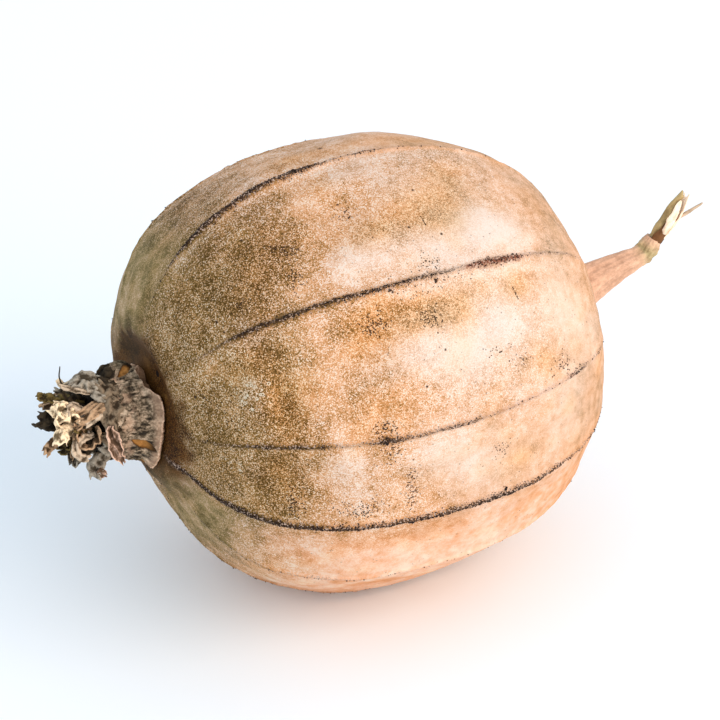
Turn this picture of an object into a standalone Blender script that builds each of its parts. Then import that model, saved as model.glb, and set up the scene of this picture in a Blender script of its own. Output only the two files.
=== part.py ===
"""A small dried ridge luffa gourd, lying on its side.

The gourd's long axis runs along X: the withered flower is at -X and the stalk at +X.
The origin is the middle of the small flat spot that it rests on, with +Z up.
Sizes are in millimetres until a mesh is made, which is in metres.
"""
import math
import random

import bmesh
import bpy
from mathutils import Vector

MM = 0.001
TURN = 2.0 * math.pi

# Body of the gourd
HALF_LENGTH = 22.6
RADIUS = 22.0
BODY_CENTRE = Vector((0.15, -1.3, 21.95))
END_BLUNTNESS = 2.81
BARREL_POWER = 2.07
WIDEST_SHIFT = -0.02
OVAL = 0.04
OVAL_ANGLE = math.radians(15.0)
CALYX_LEAN = (-0.10, 0.08)
SAG = (0.28, 0.83)

# Ridges, by their angle about the axis: 0 is up, and a right angle faces -Y
RIDGE_ANGLES = (-1.0, 39.8, 77.2, 103.0, 127.5, 161.0, 201.0, 241.0, 281.0, 320.5)
RIDGE_COUNT = len(RIDGE_ANGLES)
RIDGE_END_START = -1.0
CREST_HEIGHT = 0.42
CREST_STEPS = (0.0, 0.034, 0.10, 0.28, 0.50, 0.72, 0.90, 0.966)
CREST_PROFILE = (1.0, 0.45, 0.0, 0.0, 0.0, 0.0, 0.0, 0.45)
RIB_SWELL = 0.16
DIMPLE = 0.20
DIMPLE_WAVES = 3.4
RINGS = 32

# Floral collar at the blossom end, and the frame it shares with the withered flower
COLLAR_ORIGIN = Vector((-22.75, 0.78, 1.12))
COLLAR_AXIS = Vector((-0.9926, -0.02, 0.1201)).normalized()
COLLAR_SIDE = Vector((0.0819, -0.8397, 0.5369)).normalized()
COLLAR_LENGTH = 4.1
COLLAR_RIM_RADIUS = 4.75
COLLAR_END_RADIUS = 4.1
COLLAR_SIDES = 40
COLLAR_DROP = 0.33
SEAT_RADIUS = 5.4
SEAT_BLEND = 8.6
GAP = 0.3

# Stalk: centre line and radii from its foot on the gourd to the knee
STALK_PATH = (
    (22.9, 0.6, 1.75),
    (23.6, 0.5, 2.25),
    (25.0, 0.4, 2.95),
    (27.8, 0.2, 4.0),
    (29.6, 0.0, 4.6),
    (30.5, 0.0, 4.95),
    (31.15, 0.0, 5.75),
    (31.5, 0.0, 6.3),
)
STALK_RADII = (2.35, 2.1, 1.86, 1.35, 1.02, 1.08, 0.98, 0.8)
STALK_SIDES = 20
BLADE = 0.62
WELD = 0.0005

FLOWER_SEED = 11

COLLAR_UP = COLLAR_AXIS.cross(COLLAR_SIDE).normalized()


def smoothstep(low, high, value):
    share = min(1.0, max(0.0, (value - low) / (high - low)))
    return share * share * (3.0 - 2.0 * share)


def collar_point(along, up, side):
    """A point of the collar's frame: along its axis, up in the seat plane, to the side."""
    offset = COLLAR_AXIS * along + COLLAR_UP * up + COLLAR_SIDE * side
    return COLLAR_ORIGIN + offset


def ridge_angle(index, run):
    """Angle of a ridge where run is -1 at the flower end and 1 at the stalk end."""
    turns, place = divmod(index, RIDGE_COUNT)
    at_end = RIDGE_END_START + 360.0 * place / RIDGE_COUNT
    bow = (RIDGE_ANGLES[place] - at_end) * (1.0 - run * run)
    return math.radians(at_end + bow + 360.0 * turns)


def relief(run, angle, share, crest):
    """Height of the skin over the plain barrel: crests, broad ribs and soft dimples."""
    fade = 1.0 - abs(run) ** 9
    swell = RIB_SWELL * math.cos(TURN * share)
    wave = math.sin(DIMPLE_WAVES * math.pi * run + 3.0 * angle)
    underside = max(0.0, -math.cos(angle)) ** 4
    dimple = DIMPLE * wave * math.sin(math.pi * share) ** 2 * (1.0 - underside)
    return fade * (CREST_HEIGHT * crest + swell + dimple)


def gourd_point(run, angle, lift):
    """A point of the skin, from the barrel's profile, its oval, its lean and its sag."""
    shifted = run + WIDEST_SHIFT * (1.0 - run * run)
    hollow = max(0.0, 1.0 - abs(run) ** BARREL_POWER)
    radius = RADIUS * hollow ** (1.0 / END_BLUNTNESS)
    radius *= 1.0 + OVAL * math.cos(2.0 * (angle - OVAL_ANGLE))
    calyx_side = max(0.0, -run)
    tilt = CALYX_LEAN[0] * math.cos(angle) + CALYX_LEAN[1] * math.sin(angle)
    along = HALF_LENGTH * shifted + radius * calyx_side * tilt
    bend = 1.0 - run * run
    radius += lift
    across = -radius * math.sin(angle) + SAG[1] * bend
    height = radius * math.cos(angle) + SAG[0] * bend
    point = Vector((along, across, height))
    return seat(point) if run < 0.0 else point


def seat(point):
    """The skin around the collar turns square to the collar's axis."""
    offset = point - COLLAR_ORIGIN
    depth = offset.dot(COLLAR_AXIS)
    reach = (offset - COLLAR_AXIS * depth).length
    keep = smoothstep(SEAT_RADIUS, SEAT_BLEND, reach)
    wanted = -GAP * (1.0 - keep) + depth * keep
    return point + COLLAR_AXIS * (wanted - depth)


def new_object(name, bm, collection):
    bmesh.ops.recalc_face_normals(bm, faces=bm.faces)
    mesh = bpy.data.meshes.new(name)
    bm.to_mesh(mesh)
    bm.free()
    obj = bpy.data.objects.new(name, mesh)
    collection.objects.link(obj)
    return obj


def add_material(obj, name, colour, roughness):
    material = bpy.data.materials.new(name)
    material.use_nodes = True
    shader = material.node_tree.nodes["Principled BSDF"]
    shader.inputs["Base Color"].default_value = (*colour, 1.0)
    shader.inputs["Roughness"].default_value = roughness
    shader.inputs["Metallic"].default_value = 0.0
    obj.data.materials.clear()
    obj.data.materials.append(material)


def to_part(point):
    """Millimetres about the gourd's middle to metres about the rest spot."""
    return (point + BODY_CENTRE) * MM


def make_gourd(collection):
    """A sphere whose meridians gather at the ridges, drawn out to the gourd's form."""
    bm = bmesh.new()
    per_rib = len(CREST_STEPS)
    segments = RIDGE_COUNT * per_rib
    bmesh.ops.create_uvsphere(bm, u_segments=segments, v_segments=RINGS, radius=1.0)
    for vert in bm.verts:
        lengthwise = max(-1.0, min(1.0, vert.co.z))
        ring = math.sqrt(1.0 - lengthwise * lengthwise)
        run = (1.0 - ring ** END_BLUNTNESS) ** (1.0 / BARREL_POWER)
        run = math.copysign(run, lengthwise)
        column = round(math.atan2(vert.co.y, vert.co.x) / TURN * segments) % segments
        rib, step = divmod(column, per_rib)
        share = CREST_STEPS[step]
        start = ridge_angle(rib, run)
        angle = start + share * (ridge_angle(rib + 1, run) - start)
        lift = relief(run, angle, share, CREST_PROFILE[step])
        if ring < 0.001:
            angle = 0.0
            lift = 0.0
        vert.co = to_part(gourd_point(run, angle, lift))
    geometry = bm.verts[:] + bm.edges[:] + bm.faces[:]
    cut = bmesh.ops.bisect_plane(
        bm, geom=geometry, plane_co=(0, 0, 0), plane_no=(0, 0, 1), clear_inner=True)
    rim = [item for item in cut["geom_cut"] if isinstance(item, bmesh.types.BMEdge)]
    bmesh.ops.holes_fill(bm, edges=rim, sides=0)
    gourd = new_object("gourd", bm, collection)
    add_material(gourd, "dried_rind", (0.62, 0.40, 0.22), 0.6)
    gourd.data.shade_smooth()
    return gourd


def loft(rings):
    """A closed solid through rings of as many points each, with fans on its two ends."""
    bm = bmesh.new()
    rows = []
    for ring in rings:
        rows.append([bm.verts.new(to_part(point)) for point in ring])
    sides = len(rings[0])
    for lower, upper in zip(rows, rows[1:]):
        for i in range(sides):
            j = (i + 1) % sides
            bm.faces.new((lower[i], lower[j], upper[j]))
            bm.faces.new((lower[i], upper[j], upper[i]))
    for ring, row in ((rings[0], rows[0]), (rings[-1], rows[-1])):
        middle = sum(ring, Vector()) / sides
        hub = bm.verts.new(to_part(middle))
        for i in range(sides):
            bm.faces.new((row[i], row[(i + 1) % sides], hub))
    return bm


def frames_along(path, facing):
    """Tangent, outward and sideways directions at each point of a path."""
    frames = []
    for i, point in enumerate(path):
        before = path[max(0, i - 1)]
        after = path[min(len(path) - 1, i + 1)]
        tangent = (after - before).normalized()
        outward = (facing - tangent * facing.dot(tangent)).normalized()
        frames.append((point, tangent, outward, tangent.cross(outward)))
    return frames


def smooth_path(points, steps):
    """Points of a Catmull-Rom curve through the given points."""
    ends = [points[0] * 2.0 - points[1], *points, points[-1] * 2.0 - points[-2]]
    path = []
    for i in range(1, len(ends) - 2):
        a, b, c, d = ends[i - 1:i + 3]
        for k in range(steps):
            t = k / steps
            path.append(0.5 * (2.0 * b + (c - a) * t + (2.0 * a - 5.0 * b + 4.0 * c - d) * t ** 2
                               + (3.0 * b - a - 3.0 * c + d) * t ** 3))
    path.append(points[-1])
    return path


def blade_solid(path, widths, facing, curl, thickness, wave, columns=5):
    """A curled blade: an arc-shaped section of a wanted width swept along a path."""
    rings = []
    last = len(path) - 1
    for i, (point, _, outward, sideways) in enumerate(frames_along(path, facing)):
        place = i / last * (len(widths) - 1)
        k = min(int(place), len(widths) - 2)
        width = widths[k] + (widths[k + 1] - widths[k]) * (place - k)
        radius = width / curl
        centre = point - outward * radius
        outer = []
        inner = []
        for j in range(columns + 1):
            across = j / columns - 0.5
            theta = curl * across
            ruffle = wave * math.sin(2.1 * i + 5.0 * across) * abs(2.0 * across)
            spoke = outward * math.cos(theta) + sideways * math.sin(theta)
            middle = radius + ruffle
            outer.append(centre + spoke * (middle + thickness / 2.0))
            inner.append(centre + spoke * (middle - thickness / 2.0))
        rings.append(outer + inner[::-1])
    return loft_blade(rings, columns)


def loft_blade(rings, columns):
    """A closed blade whose two faces are split into triangles alike."""
    bm = bmesh.new()
    rows = [[bm.verts.new(to_part(point)) for point in ring] for ring in rings]
    sides = len(rings[0])
    for lower, upper in zip(rows, rows[1:]):
        for i in range(sides):
            j = (i + 1) % sides
            if i <= columns:
                bm.faces.new((lower[i], lower[j], upper[j]))
                bm.faces.new((lower[i], upper[j], upper[i]))
            else:
                bm.faces.new((lower[i], lower[j], upper[i]))
                bm.faces.new((lower[j], upper[j], upper[i]))
    for row in (rows[0], rows[-1]):
        for i in range(columns):
            far = sides - 1 - i
            bm.faces.new((row[i], row[i + 1], row[far]))
            bm.faces.new((row[i + 1], row[far - 1], row[far]))
    return bm


def join_all(base, pieces, collection):
    """One Boolean union of a base with a collection of pieces, applied."""
    group = bpy.data.collections.new(base.name + "_pieces")
    bpy.context.scene.collection.children.link(group)
    for piece in pieces:
        collection.objects.unlink(piece)
        group.objects.link(piece)
    union = base.modifiers.new("union", "BOOLEAN")
    union.operation = "UNION"
    union.operand_type = "COLLECTION"
    union.collection = group
    union.solver = "EXACT"
    graph = bpy.context.evaluated_depsgraph_get()
    mesh = bpy.data.meshes.new_from_object(base.evaluated_get(graph))
    base.modifiers.remove(union)
    bm = bmesh.new()
    bm.from_mesh(mesh)
    bmesh.ops.triangulate(bm, faces=bm.faces)
    bmesh.ops.remove_doubles(bm, verts=bm.verts, dist=WELD * MM)
    bm.to_mesh(mesh)
    bm.free()
    base.data = mesh
    for piece in list(group.objects):
        bpy.data.objects.remove(piece, do_unlink=True)
    bpy.data.collections.remove(group)


def make_collar(collection):
    """The floral tube that stays on the fruit: a ribbed cone with a torn, raised rim."""
    stations = (
        (0.0, COLLAR_RIM_RADIUS - 0.15, 0.0),
        (0.35, COLLAR_RIM_RADIUS + 0.12, 0.0),
        (0.75, COLLAR_RIM_RADIUS, 0.0),
        (1.1, COLLAR_RIM_RADIUS - 0.35, 0.3),
        (1.9, COLLAR_RIM_RADIUS - 0.45, 1.0),
        (2.7, COLLAR_END_RADIUS + 0.2, 0.7),
        (3.5, COLLAR_END_RADIUS, 0.1),
        (COLLAR_LENGTH, COLLAR_END_RADIUS - 0.15, 0.0),
        (COLLAR_LENGTH, COLLAR_END_RADIUS - 0.85, 0.0),
        (COLLAR_LENGTH - 1.0, COLLAR_END_RADIUS - 1.2, 0.0),
    )
    rings = []
    for along, radius, window in stations:
        ring = []
        for i in range(COLLAR_SIDES):
            angle = TURN * i / COLLAR_SIDES
            notch = max(0.0, math.cos(5.0 * angle + 0.6)) ** 3
            rough = 0.10 * math.sin(7.0 * angle + along) + 0.07 * math.sin(11.0 * angle)
            reach = radius + rough - 0.32 * window * notch
            lean = 0.12 * math.sin(3.0 * angle + 0.5) if along > 0.0 else 0.0
            up = reach * math.cos(angle) - COLLAR_DROP * (1.0 - along / COLLAR_LENGTH)
            side = reach * math.sin(angle)
            ring.append(collar_point(along + lean, up, side))
        rings.append(ring)
    collar = new_object("calyx_collar", loft(rings), collection)
    add_material(collar, "fibrous_collar", (0.30, 0.25, 0.20), 0.85)


def make_stalk(collection):
    """The woody stalk: a flared foot, angular flanks, a knee and a split dry end."""
    path = [Vector(point) for point in STALK_PATH]
    rings = []
    for i, (point, _, outward, sideways) in enumerate(frames_along(path, Vector((0, 0, 1)))):
        ring = []
        for j in range(STALK_SIDES):
            angle = TURN * j / STALK_SIDES
            reach = STALK_RADII[i] * (1.0 + 0.06 * math.cos(5.0 * angle))
            spoke = outward * math.cos(angle) + sideways * math.sin(angle)
            ring.append(point + spoke * reach)
        rings.append(ring)
    rings[0] = [stalk_foot(point) for point in rings[0]]
    stalk = new_object("peduncle", loft(rings), collection)
    strips = (
        ([(31.0, 0.1, 5.7), (32.1, 0.1, 7.4), (33.4, 0.1, 9.2), (34.7, 0.0, 10.6)],
         (1.5, 1.5, 1.2, 0.8), (-1.0, -0.3, 0.6), 2.2, 5),
        ([(31.5, 0.0, 5.6), (33.0, -0.2, 7.0), (34.2, -0.3, 8.6), (35.1, -0.3, 10.4)],
         (1.4, 1.3, 1.3, 0.9), (1.0, 0.3, -0.6), 1.9, 5),
        ([(34.0, -0.3, 8.1), (35.0, -0.2, 8.3), (36.8, 0.0, 8.8)],
         (0.7, 0.6, 0.5), (0.3, -0.2, 1.0), 0.5, 2),
    )
    pieces = []
    for i, (points, widths, facing, curl, columns) in enumerate(strips):
        curve = smooth_path([Vector(point) for point in points], 3)
        bm = blade_solid(curve, widths, Vector(facing).normalized(), curl, BLADE, 0.05, columns)
        pieces.append(new_object(f"strip_{i}", bm, collection))
    join_all(stalk, pieces, collection)
    add_material(stalk, "dry_stalk", (0.62, 0.47, 0.33), 0.7)


def stalk_foot(point):
    """Bring a point of the stalk's foot to just clear of the skin below it."""
    across = point.y
    height = point.z
    reach = math.hypot(across, height) / RADIUS
    run = (1.0 - reach ** END_BLUNTNESS) ** (1.0 / BARREL_POWER)
    shifted = run + WIDEST_SHIFT * (1.0 - run * run)
    return Vector((HALF_LENGTH * shifted + GAP + 0.05, across, height))


# Withered lobes that show: centre line in the collar's frame (along, up, side),
# widths, the way each faces, its curl in radians and its thickness
LOBES = (
    ("top_leaf", ((4.9, 2.4, 1.3), (5.9, 3.4, 2.0), (7.2, 3.8, 2.2), (8.6, 3.3, 2.1)),
     (2.2, 3.0, 2.6, 1.2), (0.1, 0.8, 0.7), 1.3, 0.62),
    ("high_crumple", ((5.0, 2.4, 0.8), (5.2, 3.5, 1.5), (4.9, 4.4, 2.0)),
     (2.0, 2.4, 1.2), (0.8, -0.2, 0.6), 1.0, 0.62),
    ("olive_lobe", ((5.0, 1.2, 0.0), (7.0, 1.9, 0.1), (9.0, 2.5, 0.3), (10.4, 2.8, 0.3)),
     (1.6, 1.5, 1.6, 1.1), (0.0, 0.9, 0.4), 1.6, 0.7),
    ("cream_roll", ((5.0, 0.4, 1.2), (7.0, 0.6, 2.2), (8.6, 0.8, 2.6), (10.1, 1.0, 2.7)),
     (2.4, 3.0, 4.2, 4.6), (-0.1, 0.9, 0.4), 4.0, 0.62),
    ("dark_lobe", ((5.0, -0.4, 0.0), (7.0, 0.0, 0.1), (9.4, 0.3, 0.3), (11.1, 0.6, 0.4)),
     (1.8, 1.6, 2.0, 1.4), (0.0, -0.5, 0.8), 1.4, 0.7),
    ("cream_stub", ((6.8, 0.0, 1.5), (8.7, -0.3, 2.0), (9.6, -1.1, 2.2), (10.0, -2.0, 2.2)),
     (1.2, 1.3, 1.6, 1.4), (0.5, 0.2, 0.9), 0.8, 0.95),
    ("small_lobe", ((6.2, -1.0, 0.2), (8.4, -1.3, 0.2), (10.0, -1.9, 0.2), (10.8, -2.6, 0.2)),
     (1.2, 1.0, 1.0, 0.8), (0.0, -0.3, 1.0), 0.9, 0.7),
    ("folded_blade", ((4.95, 1.0, 2.2), (6.0, 0.6, 3.4), (7.3, 0.0, 3.5), (8.6, -0.5, 3.1)),
     (1.4, 2.2, 2.2, 1.4), (0.1, 0.6, 0.8), 2.2, 0.62),
    ("curled_ring", ((6.6, -1.9, 1.2), (7.2, -2.2, 2.4), (7.8, -2.5, 3.6)),
     (4.2, 6.0, 6.4), (0.3, -0.9, 0.0), 4.9, 0.62),
    ("hanging_piece", ((5.1, 0.9, 2.4), (5.4, 0.0, 4.2), (5.5, -1.9, 4.7), (5.2, -4.0, 4.3)),
     (1.2, 2.0, 1.9, 0.9), (0.2, 0.0, 1.0), 1.5, 0.65),
    ("low_lobe", ((5.0, -2.3, 0.8), (5.9, -3.7, 1.2), (6.5, -4.7, 1.3), (6.2, -5.7, 1.2)),
     (1.8, 1.7, 1.8, 1.5), (0.5, -0.4, 0.8), 1.3, 0.65),
    ("filament", ((7.2, 2.7, 1.4), (8.3, 3.5, 1.1), (8.6, 4.4, 1.0), (8.2, 5.4, 1.0)),
     (0.7, 0.6, 0.6, 0.6), (1.0, 0.0, 0.3), 0.5, 0.62),
)

BACK_LOBES = 7
BACK_FIRST = math.radians(196.0)
BACK_LAST = math.radians(356.0)
INNER_LOBES = 3


def back_lobes():
    """Withered lobes on the far side, fanned round the axis by a seeded rule."""
    draw = random.Random(FLOWER_SEED)
    for i in range(BACK_LOBES):
        turn = BACK_FIRST + (BACK_LAST - BACK_FIRST) * (i + 0.5) / BACK_LOBES
        turn += draw.uniform(-0.09, 0.09)
        reach = draw.uniform(7.4, 10.4)
        spread = draw.uniform(3.4, 4.6)
        path = []
        for share, radius in ((0.0, 2.3), (0.35, 3.3), (0.7, 3.9), (1.0, spread)):
            swing = turn + 0.12 * draw.uniform(-1.0, 1.0) * share
            along = 5.0 + (reach - 5.0) * share
            path.append((along, radius * math.cos(swing), radius * math.sin(swing)))
        facing = (0.1, math.cos(turn), math.sin(turn))
        widths = (1.9, draw.uniform(2.1, 2.7), draw.uniform(1.8, 2.5), draw.uniform(0.9, 1.5))
        yield path, widths, facing, draw.uniform(1.2, 2.2)
    for i in range(INNER_LOBES):
        turn = TURN * (i + 0.2) / INNER_LOBES + math.pi
        reach = draw.uniform(7.0, 8.6)
        path = [(5.0, 0.9 * math.cos(turn), 0.9 * math.sin(turn)),
                (6.0, 1.3 * math.cos(turn), 1.3 * math.sin(turn)),
                (reach, 1.5 * math.cos(turn), 1.5 * math.sin(turn))]
        facing = (0.1, math.cos(turn), math.sin(turn))
        yield path, (1.6, 2.0, 1.2), facing, 1.6


def make_flower(collection):
    """The withered flower: crumpled and curled lobes that stand on a short dry base."""
    rings = []
    for along, radius in ((3.4, 2.0), (4.1, 2.3), (4.6, 3.2), (5.3, 3.1), (6.0, 2.0), (6.6, 1.0)):
        ring = []
        for i in range(16):
            angle = TURN * i / 16
            reach = radius * (1.0 + 0.08 * math.sin(3.0 * angle + along))
            ring.append(collar_point(along, reach * math.cos(angle), reach * math.sin(angle)))
        rings.append(ring)
    flower = new_object("withered_flower", loft(rings), collection)
    shapes = [(path, widths, facing, curl, thickness)
              for _, path, widths, facing, curl, thickness in LOBES]
    shapes += [(*shape, BLADE) for shape in back_lobes()]
    pieces = []
    for i, (points, widths, facing, curl, thickness) in enumerate(shapes):
        curve = smooth_path([collar_point(*point) for point in points], 2)
        along, up, side = facing
        outward = COLLAR_AXIS * along + COLLAR_UP * up + COLLAR_SIDE * side
        columns = 8 if curl > 3.0 else 4
        bm = blade_solid(curve, widths, outward.normalized(), curl, thickness, 0.12, columns)
        pieces.append(new_object(f"lobe_{i}", bm, collection))
    join_all(flower, pieces, collection)
    add_material(flower, "withered_petals", (0.45, 0.37, 0.26), 0.9)


def main():
    for obj in list(bpy.data.objects):
        bpy.data.objects.remove(obj, do_unlink=True)
    collection = bpy.data.collections.new("ridge_luffa_gourd")
    bpy.context.scene.collection.children.link(collection)
    make_gourd(collection)
    make_collar(collection)
    make_stalk(collection)
    make_flower(collection)


main()
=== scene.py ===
"""The looks of a small dried ridge luffa gourd, lying on its side.

Lengths are in millimetres about the middle of the gourd until a mesh is made, in metres.
The long axis runs along X: the withered flower is at -X and the stalk at +X. An angle about
that axis is 0 at the top and a right angle on the side that faces -Y.
"""
import math
import random

import bpy
import numpy as np
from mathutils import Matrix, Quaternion, Vector


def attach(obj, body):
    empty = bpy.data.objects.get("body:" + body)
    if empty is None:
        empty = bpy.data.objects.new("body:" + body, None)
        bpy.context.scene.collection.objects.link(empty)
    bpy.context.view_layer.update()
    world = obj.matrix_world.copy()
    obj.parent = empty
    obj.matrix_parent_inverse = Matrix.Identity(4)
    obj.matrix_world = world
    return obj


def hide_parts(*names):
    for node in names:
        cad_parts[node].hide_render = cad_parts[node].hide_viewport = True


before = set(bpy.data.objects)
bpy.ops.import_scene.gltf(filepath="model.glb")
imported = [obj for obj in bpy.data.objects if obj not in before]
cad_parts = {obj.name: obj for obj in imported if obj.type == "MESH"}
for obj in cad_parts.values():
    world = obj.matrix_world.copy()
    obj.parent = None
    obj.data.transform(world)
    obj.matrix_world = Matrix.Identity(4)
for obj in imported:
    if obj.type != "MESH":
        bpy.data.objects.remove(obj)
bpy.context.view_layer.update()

MM = 0.001
TURN = 2 * math.pi

# Body of the gourd, as in the solids
HALF_LENGTH = 22.6
RADIUS = 22
BODY_CENTRE = np.array((0.15, -1.3, 21.95))
END_BLUNTNESS = 2.81
BARREL_POWER = 2.07
WIDEST_SHIFT = -0.02
OVAL = 0.04
OVAL_ANGLE = math.radians(15)
CALYX_LEAN = (-0.10, 0.08)
SAG = (0.28, 0.83)
RIDGE_ANGLES = (-1, 39.8, 77.2, 103, 127.5, 161, 201, 241, 281, 320.5)
RIDGE_COUNT = len(RIDGE_ANGLES)
RIDGE_END_START = -1
RIB_SWELL = 0.16
DIMPLE = 0.20
DIMPLE_WAVES = 3.4

# Collar and its frame, as in the solids
COLLAR_ORIGIN = np.array((-22.75, 0.78, 1.12))
COLLAR_AXIS = np.array(Vector((-0.9926, -0.02, 0.1201)).normalized())
COLLAR_SIDE = np.array(Vector((0.0819, -0.8397, 0.5369)).normalized())
COLLAR_UP = np.array(Vector(COLLAR_AXIS).cross(Vector(COLLAR_SIDE)).normalized())
COLLAR_LENGTH = 4.1
COLLAR_DROP = 0.33
SEAT_RADIUS = 5.4
SEAT_BLEND = 8.6
GAP = 0.3

# Fine skin: its grid, the crests with their skirts, and a painted highlight on the flank next to
# two of them
RIB_COLUMNS = 56
SKIN_RINGS = 168
COLUMN_PULL = 0.78
CREST_HALF = 0.27
CREST_SKIRT = 1.1
CREST_SKIRT_HEIGHT = 0.12
BUMP_SHARE = 1.4
# Distance in mm from the crest to the middle of the painted flank highlight
FLANK_HIGHLIGHT_OFFSET = 0.95


def put(name, data):
    """A new object of the scene that shows the given mesh, lamp or camera."""
    thing = bpy.data.objects.new(name, data)
    bpy.context.scene.collection.objects.link(thing)
    return thing


def smoothstep(low, high, value):
    share = np.clip((value - low) / (high - low), 0, 1)
    return share * share * (3 - 2 * share)


def unit(vector):
    return vector / np.linalg.norm(vector, axis=-1, keepdims=True)


def travel(path):
    """Distance travelled along a path at each of its points."""
    steps = np.linalg.norm(np.diff(path, axis=0), axis=-1)
    return np.concatenate(((0,), np.cumsum(steps)))


def to_part(points):
    """Millimetres about the gourd's middle to metres about the rest spot."""
    return (np.asarray(points, float) + BODY_CENTRE) * MM


LATTICE = np.random.RandomState(7).permutation(256)
SLOPES = unit(np.random.RandomState(8).normal(size=(256, 3)))
CORNERS = np.array([(i, j, k) for i in (0, 1) for j in (0, 1) for k in (0, 1)])


def noise_at(points, wavelength, seed, octaves=1):
    """Smooth noise, about -1 to 1, at an array of points in millimetres."""
    place = np.asarray(points, float) / wavelength + np.array((17.3, 5.1, 9.7)) * seed
    total = np.zeros(place.shape[:-1])
    for octave in range(octaves):
        scaled = place * 2 ** octave
        cell = np.floor(scaled).astype(int)
        within = scaled - cell
        ease = within ** 3 * (within * (within * 6 - 15) + 10)
        for corner in CORNERS:
            key = cell + corner
            pick = LATTICE[key[..., 0] % 256]
            pick = LATTICE[(pick + key[..., 1]) % 256]
            pick = LATTICE[(pick + key[..., 2]) % 256]
            slope = np.sum(SLOPES[pick] * (within - corner), axis=-1)
            share = np.prod(np.where(corner == 1, ease, 1 - ease), axis=-1)
            total += slope * share * 1.7 * 0.5 ** octave
    return total


def srgb(red, green, blue):
    """A colour read as 0 to 255 display values, as linear values."""
    linear = []
    for value in (red, green, blue):
        share = value / 255
        low = share <= 0.04045
        linear.append(share / 12.92 if low else ((share + 0.055) / 1.055) ** 2.4)
    return tuple(linear)


def ridge_angle(place, run):
    """Angle of ridges, in radians, where run is -1 at the flower and 1 at the stalk."""
    place = np.asarray(place)
    turns = place // RIDGE_COUNT
    index = place % RIDGE_COUNT
    at_end = RIDGE_END_START + 360 * index / RIDGE_COUNT
    bow = (np.array(RIDGE_ANGLES)[index] - at_end) * (1 - run * run)
    return np.radians(at_end + bow + 360 * turns)


def seat(points):
    """The skin around the collar turns square to the collar's axis."""
    offset = points - COLLAR_ORIGIN
    depth = offset @ COLLAR_AXIS
    reach = np.linalg.norm(offset - depth[..., None] * COLLAR_AXIS, axis=-1)
    keep = smoothstep(SEAT_RADIUS, SEAT_BLEND, reach)
    wanted = -GAP * (1 - keep) + depth * keep
    return points + (wanted - depth)[..., None] * COLLAR_AXIS


def barrel(run):
    """Radius of the plain barrel along its run."""
    return RADIUS * np.maximum(0, 1 - np.abs(run) ** BARREL_POWER) ** (1 / END_BLUNTNESS)


def skin_point(run, angle, lift=0):
    """Points of the skin, from the barrel's profile, its oval, its lean and its sag."""
    run, angle, lift = np.broadcast_arrays(run, angle, lift)
    bend = 1 - run * run
    shifted = run + WIDEST_SHIFT * bend
    radius = barrel(run) * (1 + OVAL * np.cos(2 * (angle - OVAL_ANGLE)))
    tilt = CALYX_LEAN[0] * np.cos(angle) + CALYX_LEAN[1] * np.sin(angle)
    along = HALF_LENGTH * shifted + radius * np.maximum(0, -run) * tilt
    radius = radius + lift
    across = -radius * np.sin(angle) + SAG[1] * bend
    height = radius * np.cos(angle) + SAG[0] * bend
    points = np.stack((along, across, height), axis=-1)
    return np.where((run < 0)[..., None], seat(points), points)


def run_at(along, angle):
    """The run whose skin point lies at a wanted X, by halving."""
    low, high = -0.999, 0.999
    for _ in range(40):
        middle = 0.5 * (low + high)
        if skin_point(middle, angle)[0] < along:
            low = middle
        else:
            high = middle
    return 0.5 * (low + high)


def place_on_skin(along, degrees):
    angle = math.radians(degrees)
    return skin_point(run_at(along, angle), angle)


# How far the ochre tint reaches at its strongest
OCHRE_SHARE = 0.8

# Spots on the skin: X in mm, angle in degrees, reach along and around in mm, strength
SWELLINGS = (
    (11.6, 56.3, 2.4, 2.8, 0.34), (7.6, 56, 1.8, 2.6, 0.20), (1.2, 58, 2.4, 2.2, 0.22),
    (-3.3, 57, 2.2, 2.2, 0.24), (-10.7, 81.8, 2.6, 2, 0.22), (-1.1, 84.6, 4, 2.2, 0.22),
    (-17.2, 53.8, 2, 2.2, 0.34), (-20.5, 24, 2.2, 2.4, 0.30), (-5.2, 29, 2.6, 2.2, 0.20),
    (8.2, 27, 3.4, 2.6, 0.24), (-3.6, 7.5, 2.6, 1.4, 0.24), (-10.2, -6, 3, 2.2, 0.26),
    (-11.4, 26.5, 1.6, 1.6, 0.16), (14.4, 58, 2.6, 3, 0.18), (-13.5, 93, 2.6, 1.6, 0.16),
    (-11, 61, 1.5, 2.6, 0.14), (13, 90, 3, 2.6, 0.18), (2, -14, 4, 2.4, 0.20),
)
HOLLOWS = (
    (-14.7, 61.2, 1, 2.8, 0.42), (-4.9, 46.6, 2.2, 1.2, 0.30), (0.2, 48.6, 1.6, 1.5, 0.34),
    (9.6, 46.5, 1.6, 2, 0.26), (8.8, 66, 2.6, 1.4, 0.22), (7, 92, 2.6, 1.7, 0.20),
    (-15.8, 43.5, 2.4, 1.2, 0.30), (-6.4, 71.5, 1, 1.4, 0.26), (7.6, 9.5, 2.2, 1.8, 0.28),
    (-3.9, 16.7, 1.8, 1.4, 0.16), (-19.6, 37, 1.4, 2, 0.20), (-13.8, 13, 3.4, 1.2, 0.16),
    (2.5, 21, 2, 1.8, 0.20), (-15, 86, 2.2, 1.6, 0.18), (15, 76.5, 1.2, 1, 0.14),
)
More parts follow.
